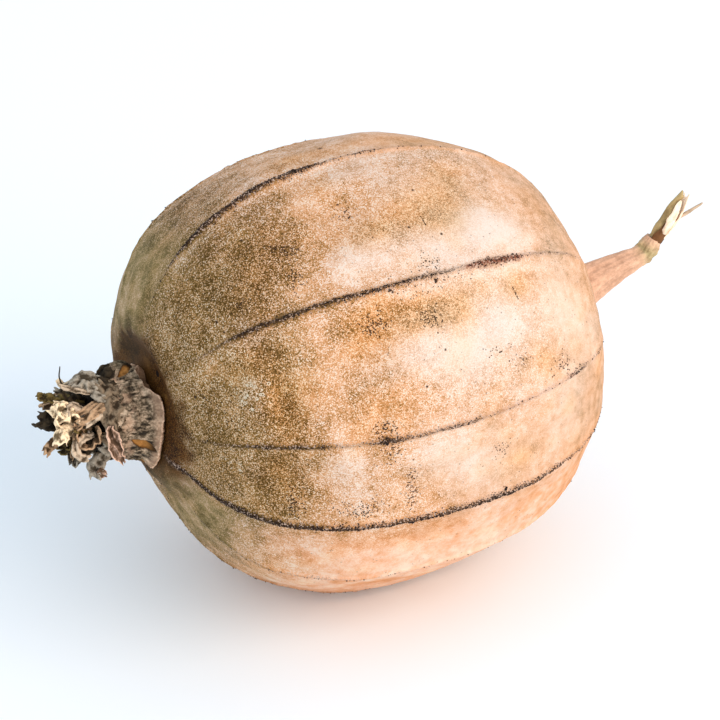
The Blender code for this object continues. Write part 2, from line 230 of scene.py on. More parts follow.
# Painted highlights: pale spots on the swellings where light falls, raising the tone and the
# pale bloom
PAINTED_HIGHLIGHT_SPOTS = (
    (7.5, 55.5, 3, 3.2, 1), (1.2, 58, 3.4, 2.8, 1), (-3.3, 57.2, 2.6, 2.4, 0.9),
    (-5.2, 31.5, 3.4, 2.6, 1.4), (2.4, 34, 4, 2.2, 1.2), (8.2, 29.3, 3, 3, 1),
    (-1.1, 84.6, 4.6, 2.6, 0.9), (-10.7, 82, 3, 2.2, 0.9), (14.4, 54.5, 3.2, 3.4, 0.8),
    (-10.2, -4.8, 1.8, 1.3, 0.8), (11, 31, 3.2, 2.6, 0.8), (13.6, 85, 3.6, 3.4, 0.5),
    (-17.5, 52, 2.2, 1.6, 0.5), (-3.4, 7, 3, 1.2, 0.7), (4.4, 62, 3, 2.6, 0.6),
    (-9.2, 57, 3.4, 3.2, 0.5), (-5, 122, 6, 3, 0.65), (17, 62, 3, 4, 0.6),
    (-9, 93, 4.4, 2.6, 0.5), (3, 92, 5, 2.4, 0.5),
)
# Ochre spots: the rind's own ochre tint, and a darker tone that is painted shade in the hollows
# where many of them sit
OCHRE_AND_SHADE_SPOTS = (
    (-13.6, 17.1, 2.6, 2.6, 0.5), (-11.3, 24.8, 2.8, 2.4, 0.3), (-15, 28, 1.8, 1.8, 0.6),
    (-4.7, 45.2, 3.4, 1.5, 1.4), (0.6, 48.2, 2.8, 1.6, 1.9), (-6.6, 50, 2.6, 2, 0.7),
    (9.8, 45.4, 2, 1.8, 1), (-6, 68.9, 3.6, 3.2, 0.8), (7.6, 93, 2.8, 2.6, 0.9),
    (-15.5, 85, 4.2, 3.4, 0.6), (3.4, 22, 4, 2.6, 1.5), (-2.7, 25, 3, 1.6, 1),
    (8.4, -8, 5, 2.6, 0.9), (7.4, 15, 3.4, 2.4, 0.9), (-3.2, 110, 7, 2.6, 0.5),
    (-15.9, 45, 2.4, 1.8, 0.8), (11.3, 67, 2.6, 1.5, 0.7), (-4.2, -9.5, 4, 2, 0.6),
    (-14.7, 61.2, 1.6, 3.2, 1.4), (-19, -14, 3, 3, 0.4), (4.6, 44, 2.6, 1.4, 0.6),
    (-2.4, 90.5, 3, 1.4, 0.4),
)
SPECK_SPOTS = (
    (-5.3, 47.5, 1.3, 1, 1), (0.1, 49.2, 1, 1, 0.9), (-3.9, 16.7, 1, 0.9, 0.7),
    (-10.2, 21.6, 0.8, 0.9, 0.8), (-10.8, 30, 0.6, 1.2, 0.8), (8.6, 65, 1.6, 0.5, 0.45),
    (-16, 28.6, 0.8, 0.6, 0.7), (-14.5, 96.5, 0.8, 1.6, 0.9), (-3.9, 93.4, 0.6, 2.4, 0.8),
    (-6.3, 73.6, 1, 0.6, 0.9), (1.6, 36.5, 1.2, 0.8, 0.7), (0.6, 41, 6, 1, 0.25),
    (-8.6, 97, 5, 1, 0.4), (6.4, 61, 2.6, 0.6, 0.25), (-12, 19, 1.2, 0.8, 0.4),
    (5.6, 88.5, 1, 0.8, 0.6), (-8.9, 99, 1.4, 0.7, 0.5), (-5.8, 80, 0.9, 1.4, 0.5),
    (13.2, 70, 1.6, 1, 0.5), (-19, 60, 2, 2, 0.3),
)
# Where the rind has pale rings
RING_SPOTS = (
    (-17.3, 54.6, 1.1, 1.1, 1), (-15.9, 55, 1, 1, 1), (-18.9, 83, 1.2, 1, 0.9),
    (-17.6, 58.6, 0.9, 0.9, 0.8),
)
# Single dark specks: X in mm, angle in degrees and radius in mm
LONE_SPECKS = (
    (-13.6, 11.1, 0.16), (-18.2, 29, 0.15), (-9.3, 53.1, 0.17), (1.1, 26.2, 0.15),
    (-2.7, 26.5, 0.15), (7.7, 8.3, 0.26), (-13.6, -18.3, 0.26), (-1.5, -12, 0.24),
    (0.8, 57.7, 0.13), (-17.9, 33.4, 0.14), (3.4, 15.4, 0.14), (10.6, 61, 0.14),
    (-12.9, 72.4, 0.15), (4, 29.6, 0.14), (-1.7, 65.5, 0.12), (-21, 49, 0.16),
)

# A dark round pit beside the collar: run along the skin, angle and radius
PIT = (-0.987, 9.7, 0.36)

# Dark crust on each ridge's crest: X in mm, strength from 0 to 1 and half width in mm
FAINT_CRUST = ((-22, 0.1, 0.15), (-12, 0.45, 0.2), (0, 0.3, 0.2), (20, 0.05, 0.15))
CRUST = (
    ((-22, 0, 0.2), (-19.8, 0.3, 0.2), (-17.8, 1, 0.36), (-14, 1, 0.48),
     (-5, 1, 0.46), (-4, 0.8, 0.3), (-3, 0.55, 0.22), (-0.8, 0.4, 0.2), (0.4, 0.65, 0.2),
     (2.6, 0.5, 0.18), (4, 0.25, 0.18), (9.7, 0.2, 0.18), (14, 0.08, 0.2), (22, 0, 0.2)),
    ((-22, 0.1, 0.15), (-20.4, 0.3, 0.15), (-18.6, 0.45, 0.15), (-17.5, 0.9, 0.20),
     (-13, 1, 0.27), (-8, 1, 0.27), (-5, 1, 0.26), (0, 0.95, 0.22), (1.6, 0.7, 0.15),
     (4.4, 0.35, 0.13), (5.4, 0.9, 0.3), (7, 1, 0.44), (11, 1, 0.36), (11.6, 0.45, 0.15),
     (17.5, 0.35, 0.13), (20, 0.1, 0.13), (22, 0, 0.13)),
    ((-22, 0.2, 0.15), (-19, 0.4, 0.16), (-17.8, 0.6, 0.18), (-13.6, 0.75, 0.2),
     (-12.9, 0.4, 0.16), (-12.2, 1, 0.3), (-11.4, 0.5, 0.18), (-9, 0.35, 0.15),
     (-7.6, 0.5, 0.17), (-6.4, 1, 0.48), (-5.4, 0.9, 0.34), (-3.5, 0.6, 0.2),
     (-1, 0.5, 0.17), (0.8, 0.85, 0.2), (2.2, 0.6, 0.16), (4, 0.36, 0.15), (13.6, 0.34, 0.15),
     (14.8, 0.8, 0.3), (16, 0.6, 0.26), (17, 0.2, 0.14), (18.6, 0.45, 0.2), (21, 0.1, 0.14)),
    ((-23, 1, 0.36), (-20.6, 1, 0.44), (-18, 1, 0.45), (-14, 1, 0.4),
     (-9, 1, 0.38), (-3, 1, 0.35), (3.6, 1, 0.34), (7, 1, 0.4), (12, 0.9, 0.28),
     (14, 0.55, 0.2), (19, 0.4, 0.18), (21.5, 0.1, 0.15)),
    ((-22, 0.1, 0.14), (-19, 0.32, 0.16), (-13, 0.34, 0.16), (-10.4, 0.42, 0.2),
     (-9, 0.3, 0.16), (0, 0.2, 0.14), (10, 0.15, 0.13), (21, 0.05, 0.12)),
    FAINT_CRUST,
    ((-22, 0.2, 0.18), (-16, 0.8, 0.24), (-4, 0.9, 0.26), (4, 0.5, 0.2),
     (12, 0.3, 0.18), (21, 0.05, 0.15)),
    ((-22, 0.1, 0.16), (-18, 0.6, 0.2), (-9, 0.5, 0.18), (-2, 1, 0.28),
     (9, 1, 0.26), (15, 0.5, 0.2), (21, 0.1, 0.15)),
    ((-22, 0, 0.16), (-17, 0.9, 0.24), (-6, 1, 0.28), (0, 0.4, 0.18),
     (8, 0.7, 0.22), (18, 0.4, 0.18), (21, 0.1, 0.15)),
    ((-22, 0, 0.13), (-16, 0.2, 0.14), (-8, 0.25, 0.14), (4, 0.2, 0.14),
     (12, 0.15, 0.13), (21, 0.05, 0.13)),
)
# Brown stretches of the crests: ridge, first and last X in mm
RUST = ((0, 4, 14), (1, 5, 11.6), (2, 4, 14), (4, -12, -9))
# Clumps of crumbs: ridge, X in mm, side of the crest from -1 to 1 and size in mm
WARTS = ((3, -3.9, 1, 0.34), (3, -0.8, 1, 0.3), (3, -0.1, 0.8, 0.3), (3, 6.6, 0.9, 0.42),
         (3, 6.1, -1, 0.3), (3, 5, 0.5, 0.3), (3, -12.6, -0.4, 0.26), (1, 1.8, 0.9, 0.26),
         (1, -3, 0.8, 0.26), (2, -6.5, 0.6, 0.36))


def spot_sum(points, spots):
    """Soft round spots on the skin, added up at every point."""
    total = np.zeros(points.shape[:-1])
    for along, degrees, reach_along, reach_around, strength in spots:
        delta = points - place_on_skin(along, degrees)
        lengthwise = delta[..., 0]
        sideways = np.sum(delta * delta, axis=-1) - lengthwise ** 2
        fall = (lengthwise / reach_along) ** 2 + sideways / reach_around ** 2
        total += strength * np.exp(-fall)
    return total


def skin_runs():
    """Runs of the rings, even along the profile and closer together at the flower end."""
    turn = np.linspace(0.0005, math.pi - 0.0005, 4000)
    lengthwise = -np.cos(turn)
    ring = np.sqrt(1 - lengthwise ** 2)
    run = np.copysign((1 - ring ** END_BLUNTNESS) ** (1 / BARREL_POWER), lengthwise)
    path = skin_point(run, math.radians(80))
    steps = np.linalg.norm(np.diff(path, axis=0), axis=-1)
    crowd = 1 + 1.2 * np.exp(-((path[1:, 0] + 21.5) / 5) ** 2)
    travelled = np.concatenate(((0,), np.cumsum(steps * crowd)))
    return np.interp(np.linspace(0, travelled[-1], SKIN_RINGS), travelled, run)


def crust_at(place, along):
    """Strength and half width of the dark crust on ridges, at X in mm."""
    strength = np.zeros(along.shape)
    width = np.zeros(along.shape)
    for index, knots in enumerate(CRUST):
        spots, strengths, widths = zip(*knots)
        here = place % RIDGE_COUNT == index
        strength = np.where(here, np.interp(along, spots, strengths), strength)
        width = np.where(here, np.interp(along, spots, widths), width)
    return strength, width


def skin_lift(run, rib, share):
    """Height of the skin over the plain barrel, and what the crests need to know."""
    start = ridge_angle(rib, run)
    width = ridge_angle(rib + 1, run) - start
    angle = start + share * width
    plain = skin_point(run, angle)
    bend = 1 - run * run
    across = plain[..., 1] - SAG[1] * bend
    height = plain[..., 2] - SAG[0] * bend
    reach = np.hypot(across, height)
    nearest = np.where(share < 0.5, rib, rib + 1)
    from_crest = np.where(share < 0.5, share, share - 1) * width * reach
    from_crest = from_crest + 0.10 * noise_at(plain, 2.2, 8)
    strength, half = crust_at(nearest, plain[..., 0])

    fade = 1 - np.abs(run) ** 9
    swell = RIB_SWELL * np.cos(TURN * share)
    wave = np.sin(DIMPLE_WAVES * math.pi * run + 3 * angle)
    underside = np.maximum(0, -np.cos(angle)) ** 4
    dimple = DIMPLE * wave * np.sin(math.pi * share) ** 2 * (1 - underside)
    lumps = noise_at(plain, 0.75, 3, 2)
    crest = (0.20 + 0.16 * strength) * (1 + 0.35 * lumps)
    sharp = np.exp(-(from_crest / (CREST_HALF + 0.4 * (half - 0.2))) ** 2)
    skirt = CREST_SKIRT_HEIGHT * np.exp(-(from_crest / CREST_SKIRT) ** 2)
    bumps = BUMP_SHARE * (spot_sum(plain, SWELLINGS) - spot_sum(plain, HOLLOWS))
    broad = 0.12 * noise_at(plain, 6.5, 1) + 0.06 * noise_at(plain, 2.6, 2, 2)
    ends = smoothstep(0.62, 0.98, np.abs(run)) * smoothstep(1, 0.985, np.abs(run))
    pucker = 0.06 * ends * np.cos(3 * TURN * share + 2 * noise_at(plain, 5, 4))
    lift = crest * sharp + skirt + swell + dimple + bumps + broad + 0.012 * lumps
    # Painted highlight: a pale band on the lit flank next to the crests of the first two ridges
    flank_highlight = np.exp(-((from_crest - FLANK_HIGHLIGHT_OFFSET) / 0.5) ** 2) * strength
    flank_highlight = flank_highlight * (nearest % RIDGE_COUNT < 2)
    strength = strength * (1 - np.abs(run) ** 60)
    facts = {"crest_mm": np.abs(from_crest), "crust": strength, "crust_half": half,
             "flank_highlight": flank_highlight}
    return angle, plain, nearest, fade * lift + pucker, facts


def skin_grid():
    """The skin's points in rings, and what the material needs to know at each of them."""
    run = skin_runs()[:, None]
    even = np.arange(RIB_COLUMNS) / RIB_COLUMNS
    step = even - COLUMN_PULL * np.sin(TURN * even) / TURN
    share = np.tile(step, RIDGE_COUNT)[None, :]
    rib = np.repeat(np.arange(RIDGE_COUNT), RIB_COLUMNS)[None, :]
    angle, plain, nearest, lift, facts = skin_lift(run, rib, share)
    points = skin_point(run, angle, lift)
    points[..., 2] = np.maximum(points[..., 2], -BODY_CENTRE[2])
    flank_highlight = facts.pop("flank_highlight")
    facts["specks"] = spot_sum(plain, SPECK_SPOTS)
    facts.update(tones_at(plain, angle, nearest))
    # Painted highlight on the crests' lit flank: a paler tone and more pale bloom
    facts["tone"] = facts["tone"] + 0.10 * flank_highlight
    facts["bloom_and_highlight"] = facts["bloom_and_highlight"] + 0.16 * flank_highlight
    return points, facts


def tones_at(points, angle, nearest):
    """Broad tones: dark and olive towards the flower, pale towards the stalk, and pale below as
    painted bounce light; also painted highlights, painted shade and a painted cool tint of
    shade.
    """
    along = points[..., 0]
    degrees = np.degrees(angle) % 360
    upper = smoothstep(50, 15, degrees) + smoothstep(300, 345, degrees)
    under = smoothstep(98, 122, degrees) * smoothstep(300, 250, degrees)
    under = under * smoothstep(22.5, 15.5, along + 1.5 * noise_at(points, 4, 15))
    from_collar = np.linalg.norm(points - COLLAR_ORIGIN, axis=-1)
    patchy = noise_at(points, 5, 5, 2)
    # The rind turns pale past a wavy line at this X; on the underside the line comes earlier, as
    # painted bounce light
    pale_from = -13.8 + 4.4 * upper - 4.8 * under + 1.2 * patchy
    tone = 0.37 + 0.32 * smoothstep(-5.5, 6, along - pale_from)
    tone += 0.02 * smoothstep(0, 10, along)
    # Painted bounce light: the underside towards the flower is paler
    tone += 0.15 * under * smoothstep(-21, -12, along)
    tone -= 0.15 * smoothstep(10, 18, along) + 0.035 * upper * smoothstep(-2, 5, along)
    # Painted highlights pale the swellings; the ochre spots darken, partly as painted shade in
    # the hollows
    tone += 0.15 * spot_sum(points, PAINTED_HIGHLIGHT_SPOTS) - 0.09 * spot_sum(points, OCHRE_AND_SHADE_SPOTS)
    left = smoothstep(2, -10, along)
    tone += 0.10 * noise_at(points, 6, 11) + (0.12 + 0.05 * left) * noise_at(points, 2.4, 12, 3)
    tone += 0.09 * left * noise_at(points, 3.8, 14, 2)
    # Pale bloom: the rind's own, growing towards the stalk, plus painted highlights on the
    # swellings
    bloom_and_highlight = 0.26 * smoothstep(-8, 6, along) * (1 - 0.6 * under)
    bloom_and_highlight += 0.42 * spot_sum(points, PAINTED_HIGHLIGHT_SPOTS) + 0.10 * patchy
    bloom_and_highlight -= 0.10 * smoothstep(0, -8, along)
    olive = smoothstep(-11, -19.5, along + 3 * patchy) * (1 - 0.3 * under)
    stain = smoothstep(10.5, 6, from_collar + 1.2 * noise_at(points, 1.8, 6, 2))
    stain *= 0.9 + 0.4 * smoothstep(-4, 1, points[..., 2])
    # Painted cool shade: a bluish tint on the flower's half, along the top's far edge and low
    # down, where the rind lies in shade
    signed = np.where(degrees > 180, degrees - 360, degrees)
    painted_cool_shade = smoothstep(14, -14, signed) * smoothstep(-95, -40, signed)
    painted_cool_shade = painted_cool_shade * smoothstep(-14, -20, along)
    low = smoothstep(98, 120, degrees) * smoothstep(215, 165, degrees)
    painted_cool_shade = np.maximum(painted_cool_shade, low * smoothstep(-15.5, -20, along))
    low = low * smoothstep(215, 165, degrees)
    # Painted shade: the low side of the flower end is darker
    tone -= 0.16 * smoothstep(118, 150, degrees) * low * smoothstep(-11, -18, along)
    tone += 0.04 * painted_cool_shade + 0.02 * upper * smoothstep(-6, -13, along)
    high = smoothstep(25, 0, np.abs((degrees + 192) % 360 - 180))
    tone += 0.10 * high * smoothstep(-18, -12, along) * smoothstep(0, -6, along)
    # The fine grain is strongest where the rind is dark
    grain = 1.2 - 0.45 * smoothstep(0.45, 0.72, tone)
    grain *= 1 - 0.7 * smoothstep(6, 18, along)
    grain *= (1 - 0.8 * under * smoothstep(-19, -8, along)) * (1 - 0.7 * painted_cool_shade)
    grain *= 1 - 0.6 * smoothstep(60, 90, degrees) * smoothstep(-6, 4, along)
    # Stretches of the crests where the crust is brown
    rust = np.zeros(along.shape)
    for index, first, last in RUST:
        inside = smoothstep(first - 0.8, first, along) * smoothstep(last + 0.8, last, along)
        rust += np.where(nearest % RIDGE_COUNT == index, inside, 0)
    ochre = spot_sum(points, OCHRE_AND_SHADE_SPOTS) + 0.7 * np.maximum(0, noise_at(points, 3.4, 13, 2))
    ochre += 0.35 * smoothstep(9, 17, along)
    # Painted warm bounce light: a redder tint on the underside
    painted_warm_bounce = under * smoothstep(-19, -9, along) * (1 - 0.5 * smoothstep(2, 8, along))
    return {"tone": tone, "bloom_and_highlight": bloom_and_highlight, "olive": olive, "stain": stain, "painted_cool_shade": painted_cool_shade,
            "ochre": OCHRE_SHARE * np.clip(ochre, 0, 1.3), "under": painted_warm_bounce, "grain": grain,
            "rust": rust, "rings": spot_sum(points, RING_SPOTS)}


def grid_faces(rows, columns):
    """Quads between neighbouring closed rings of points, numbered ring by ring."""
    start = columns * np.arange(rows - 1)[:, None]
    column = np.arange(columns)[None, :]
    after = (column + 1) % columns
    corners = (start + column, start + after, start + columns + after, start + columns + column)
    return np.stack(corners, -1).reshape(-1, 4)


def make_piece(name, points, faces, facts=None, colours=None):
    """A smooth-shaded mesh object from points in mm, with values that its material reads."""
    mesh = bpy.data.meshes.new(name)
    flat = to_part(np.asarray(points).reshape(-1, 3))
    mesh.from_pydata(flat.tolist(), [], [tuple(face) for face in faces])
    for key, values in (facts or {}).items():
        attribute = mesh.attributes.new(key, "FLOAT", "POINT")
        attribute.data.foreach_set("value", np.ravel(values).astype(np.float32))
    for key, values in (colours or {}).items():
        attribute = mesh.attributes.new(key, "FLOAT_VECTOR", "POINT")
        attribute.data.foreach_set("vector", np.ravel(values).astype(np.float32))
    mesh.validate()
    mesh.shade_smooth()
    return put(name, mesh)


def close_ends(points, faces, facts):
    """Fans from each end ring to a point in its middle."""
    rows, columns = points.shape[:2]
    flat = points.reshape(-1, 3)
    hubs = np.stack((points[0].mean(0), points[-1].mean(0)))
    first = rows * columns
    fans = []
    for i in range(columns):
        after = (i + 1) % columns
        fans.append((after, i, first))
        fans.append(((rows - 1) * columns + i, (rows - 1) * columns + after, first + 1))
    wider = {}
    for key, values in facts.items():
        flat_values = np.asarray(values).reshape(rows * columns, -1)
        ends = np.stack((flat_values[:columns].mean(0), flat_values[-columns:].mean(0)))
        wider[key] = np.concatenate((flat_values, ends))
    return np.concatenate((flat, hubs)), [*map(tuple, faces.tolist()), *fans], wider


def make_skin(material):
    points, facts = skin_grid()
    rows, columns = points.shape[:2]
    facts = {key: np.broadcast_to(values, (rows, columns)) for key, values in facts.items()}
    flat, faces, facts = close_ends(points, grid_faces(rows, columns), facts)
    skin = make_piece("gourd_skin", flat, faces, facts)
    skin.data.materials.append(material)
    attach(skin, "root")
    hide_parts("gourd")


# Dark crumbs of dried tissue that stand on the crests
CRUMBS_PER_MM = 17
CRUMB_SEED = 5
CRUMB_SHAPE = ((1, 0, 0), (0, 1, 0), (-1, 0, 0), (0, -1, 0), (0, 0, 1), (0, 0, -1))
CRUMB_FACES = ((0, 1, 4), (1, 2, 4), (2, 3, 4), (3, 0, 4),
               (1, 0, 5), (2, 1, 5), (3, 2, 5), (0, 3, 5))
WART_CRUMBS = 7
# Thin dark cracks and a scratch: places along each as run and angle in degrees
CRACKS = (
    ((-0.915, 44.7), (-0.907, 48.2), (-0.899, 51), (-0.891, 53.5), (-0.879, 55.2)),
    ((0.438, 45.8), (0.442, 47.5), (0.446, 49.6)),
    ((0.146, 23.4), (0.146, 26.5)),
)
CRACK_CRUMBS = 30


def crumb_places(draw):
    """Places for the crumbs: thickest where the crust is strong, scattered about the crest."""
    rows = []
    run = np.linspace(-0.985, 0.985, 1500)
    for index in range(RIDGE_COUNT):
        path = skin_point(run, ridge_angle(index, run))
        step = np.linalg.norm(np.gradient(path, axis=0), axis=-1)
        strength, half = crust_at(np.full(run.shape, index), path[:, 0])
        weight = np.cumsum(strength ** 1.7 * (half / 0.25) * step)
        count = int(weight[-1] * CRUMBS_PER_MM)
        spots = np.interp(draw.random_sample(count) * weight[-1], weight, run)
        off = draw.normal(0, 0.55, count) * np.interp(spots, run, half)
        rows.append(np.stack((np.full(count, index), spots, off,
                              draw.uniform(0.035, 0.085, count)), -1))
    for index, along, off, size in WARTS:
        middle = run_at(along, math.radians(RIDGE_ANGLES[index]))
        spots = middle + draw.normal(0, 0.35 * size, WART_CRUMBS) / HALF_LENGTH
        aside = 0.5 * off + draw.normal(0, 0.3 * size, WART_CRUMBS)
        rows.append(np.stack((np.full(WART_CRUMBS, index), spots, aside,
                              draw.uniform(0.07, 0.14, WART_CRUMBS)), -1))
    for crack in CRACKS:
        runs, degrees = np.array(crack).T
        share = np.sort(draw.random_sample(CRACK_CRUMBS)) * (len(crack) - 1)
        spots = np.interp(share, range(len(crack)), runs) + draw.normal(0, 0.0015, CRACK_CRUMBS)
        angle = np.radians(np.interp(share, range(len(crack)), degrees))
        index = np.sum(ridge_angle(np.arange(4)[:, None], spots) < angle, axis=0) - 1
        off = (angle - ridge_angle(index, spots)) * barrel(spots)
        rows.append(np.stack((index, spots, off, draw.uniform(0.03, 0.06, CRACK_CRUMBS)), -1))
    return np.concatenate(rows).T


def make_crumbs(material):
    draw = np.random.RandomState(CRUMB_SEED)
    index, run, off, size = crumb_places(draw)
    rib = index.astype(int)
    width = ridge_angle(rib + 1, run) - ridge_angle(rib, run)
    share = off / (width * barrel(run))
    rib = np.where(share < 0, rib - 1, rib)
    share = np.where(share < 0, share + 1, share)
    rib = rib % RIDGE_COUNT
    angle, _, _, lift, _ = skin_lift(run, rib, share)
    bases = skin_point(run, angle, lift + 0.25 * size)
    axes = unit(draw.normal(size=(len(run), 2, 3)))
    first = axes[:, 0]
    second = unit(np.cross(first, axes[:, 1]))
    frames = np.stack((first, second, np.cross(first, second)), axis=1)
    stretch = draw.uniform(0.7, 1.5, (len(run), 1, 3)) * size[:, None, None]
    corners = np.array(CRUMB_SHAPE, float)[None] * stretch
    points = bases[:, None, :] + np.einsum("nck,nkj->ncj", corners, frames)
    above = points[..., 2].min(axis=1) > -BODY_CENTRE[2] + 0.2
    points = points[above]
    starts = len(CRUMB_SHAPE) * np.arange(len(points))[:, None, None]
    faces = (starts + np.array(CRUMB_FACES)[None]).reshape(-1, 3)
    crumbs = make_piece("crest_crumbs", points, faces)
    crumbs.data.materials.append(material)
    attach(crumbs, "root")


def collar_points(along, up, side):
    along, up, side = np.broadcast_arrays(along, up, side)
    return (COLLAR_ORIGIN + along[..., None] * COLLAR_AXIS + up[..., None] * COLLAR_UP
            + side[..., None] * COLLAR_SIDE)


# Collar profile: distance along its axis and radius, in mm, from the skin to the dished end
COLLAR_PROFILE = (
    (-0.22, 4.62), (-0.05, 4.78), (0.25, 4.86), (0.6, 4.74), (0.95, 4.46), (1.3, 4.28),
    (2, 4.20), (2.8, 4.16), (3.5, 4.05), (4, 3.92), (4.1, 3.55), (3.9, 3.25), (3.3, 2.95),
)
COLLAR_COLUMNS = 280
COLLAR_ROWS = 96
# Torn rim against the skin: angle, its radius and how far it climbs the wall
RIM_KNOTS = (
    (0, 4.5, 0.12), (16, 4.45, 0.3), (27, 4.4, 0.85), (48, 4.4, 0.95), (64, 4.55, 0.6),
    (77, 4.8, 0.12), (94, 4.86, 0.05), (110, 4.5, 0.15), (140, 4.45, 0.1), (156, 4.85, 0.05),
    (175, 5, 0.05), (212, 4.7, 0.2), (240, 4.5, 0.5), (270, 4.7, 0.1), (310, 4.6, 0.15),
    (360, 4.5, 0.12),
)
# Lens-shaped windows: distance along and angle of the middle, half length and half width in
# mm, and the degrees that the lens turns for each mm along
WINDOWS = (
    (1.6, 137, 1.4, 0.66, -6), (1.7, 18, 1.35, 0.6, 10), (0.9, 180, 0.95, 0.4, -8),
    (1.6, 232, 1.3, 0.4, -8), (1.7, 286, 1.2, 0.4, 6), (1.6, 330, 1.3, 0.42, 8),
)
WALL_RADIUS = 4.3
RIM_RADIUS = 4.5
# Distances along the profile, in mm: the foot with its rim, the windows and the outer wall
FOOT_END = 3.2
WINDOW_END = 4.6
WALL_END = 5
# A swelling of the wall: where along and at what angle
BULGE_ALONG = 1.9
BULGE_TURN = -3


def make_collar(material):
    """The floral tube: a fibrous wall with lens-shaped windows and a torn, raised rim."""
    knots = np.array(COLLAR_PROFILE)
    reached = travel(knots)
    even = np.linspace(0, reached[-1], COLLAR_ROWS)
    along = np.interp(even, reached, knots[:, 0])[:, None]
    radius = np.interp(even, reached, knots[:, 1])[:, None]
    angle = TURN * np.arange(COLLAR_COLUMNS)[None, :] / COLLAR_COLUMNS
    degrees = np.degrees(angle)
    place = np.stack(np.broadcast_arrays(WALL_RADIUS * np.cos(angle),
                                         WALL_RADIUS * np.sin(angle), along), -1)
    travelled = even[:, None]
    low_wall = travelled < FOOT_END
    ragged = noise_at(place, 0.9, 22, 3)
    rim_angle, rim_radius, rim_climb = np.array(RIM_KNOTS).T
    climb = np.interp(degrees, rim_angle, rim_climb) + 0.10 * ragged
    rim = np.exp(-((along - climb) / 0.17) ** 2) * low_wall
    below = smoothstep(0.12, -0.15, along - climb)
    window = np.zeros(place.shape[:2])
    corner = np.zeros(place.shape[:2])
    for middle, turn, half_length, half_width, slope in WINDOWS:
        lengthwise = (along - middle) / half_length
        aside = (degrees - turn - slope * (along - middle) + 180) % 360 - 180
        aside = np.abs(np.radians(aside) * WALL_RADIUS / half_width) + 0.15 * ragged
        lens = smoothstep(0, 0.3, 1 - lengthwise ** 2 - aside) * (travelled < WINDOW_END)
        window = np.maximum(window, lens)
        corner = np.maximum(corner, lens * smoothstep(-0.2, -0.8, lengthwise))
    fibres = np.abs(noise_at(place * np.array((1.6, 1.6, 0.5)), 0.8, 21, 3))
    creases = np.abs(noise_at(place, 1.5, 24, 2))
    aside = (degrees - BULGE_TURN + 180) % 360 - 180
    bulge = np.exp(-(aside / 20) ** 2 - ((along - BULGE_ALONG) / 1.1) ** 4)
    bulge = bulge * (travelled < WALL_END)
    flare = np.interp(degrees, rim_angle, rim_radius) - RIM_RADIUS
    foot = smoothstep(1.3, 0.2, along) * low_wall
    radius = radius - 0.30 * foot + flare * foot + 0.20 * rim * (1 + 1.1 * ragged)
    radius = radius - 0.30 * window - 0.10 * corner + 0.22 * (0.3 - fibres) * (1 - 0.6 * window)
    radius = radius + 0.30 * (0.35 - creases) + 0.12 * noise_at(place, 2, 23, 2) + 0.95 * bulge
    radius = radius - below * smoothstep(0.2, 0.7, climb) * low_wall
    along = along + smoothstep(0, 0.6, travelled) * 0.10 * np.sin(3 * angle + 0.5)
    up = radius * np.cos(angle) - COLLAR_DROP * (1 - along / COLLAR_LENGTH)
    points = collar_points(along, up, radius * np.sin(angle))
    wide = np.ones(points.shape[:2])
    facts = {"window": window, "corner": corner, "rim": rim, "below": below, "bulge": bulge,
             "fibre": fibres, "crease": creases, "lengthwise": along,
             "fibre_place": np.stack((angle * WALL_RADIUS * wide, along, radius), -1)}
    flat, faces, facts = close_ends(points, grid_faces(COLLAR_ROWS, COLLAR_COLUMNS), facts)
    place = facts.pop("fibre_place")
    collar = make_piece("collar_wall", flat, faces, facts, {"fibre_place": place})
    collar.data.materials.append(material)
    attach(collar, "root")
    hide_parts("calyx_collar")


def smooth_path(points, steps):
    """Points of a Catmull-Rom curve through the given points."""
    points = [np.array(point, float) for point in points]
    ends = [points[0] * 2 - points[1], *points, points[-1] * 2 - points[-2]]
    path = []
    for i in range(1, len(ends) - 2):
        a, b, c, d = ends[i - 1:i + 3]
        for k in range(steps):
            t = k / steps
            path.append(0.5 * (2 * b + (c - a) * t + (2 * a - 5 * b + 4 * c - d) * t ** 2
                               + (3 * b - a - 3 * c + d) * t ** 3))
    path.append(points[-1])
    return np.array(path)


class Shape:
    """Points, faces and material values gathered from several blades of one piece."""

    def __init__(self):
        self.points, self.faces, self.tint, self.place = [], [], [], []
        # Painted light of the blades: shade in the creases and a highlight on the edges, read by
        # the material
        self.fold, self.edge = [], []

    def add(self, points, faces, tint, place, fold=0.5, edge=0):
        first = len(self.points)
        flat = points.reshape(-1, 3)
        self.points.extend(flat)
        self.faces.extend(tuple(first + int(i) for i in face) for face in faces)
        self.tint.extend(np.broadcast_to(tint, (len(flat), 3)))
        self.place.extend(place.reshape(-1, 3))
        self.fold.extend(np.ravel(np.broadcast_to(fold, points.shape[:-1])))
        self.edge.extend(np.ravel(np.broadcast_to(edge, points.shape[:-1])))

    def piece(self, name):
        return make_piece(name, np.array(self.points), self.faces,
                          {"fold": np.array(self.fold), "edge": np.array(self.edge)},
                          {"tint": np.array(self.tint), "fibre_place": np.array(self.place)})


def frame_along(path, facing):
    """Unit directions at each place of a path: onward, towards the facing side and across."""
    tangent = unit(np.gradient(path, axis=0))
    outward = unit(facing - tangent * (tangent @ facing)[:, None])
    return tangent, outward, np.cross(tangent, outward)


def about(along, radius, turn):
    """A place in the collar's frame from its distance along, its radius and its angle."""
    return along, radius * math.cos(turn), radius * math.sin(turn)


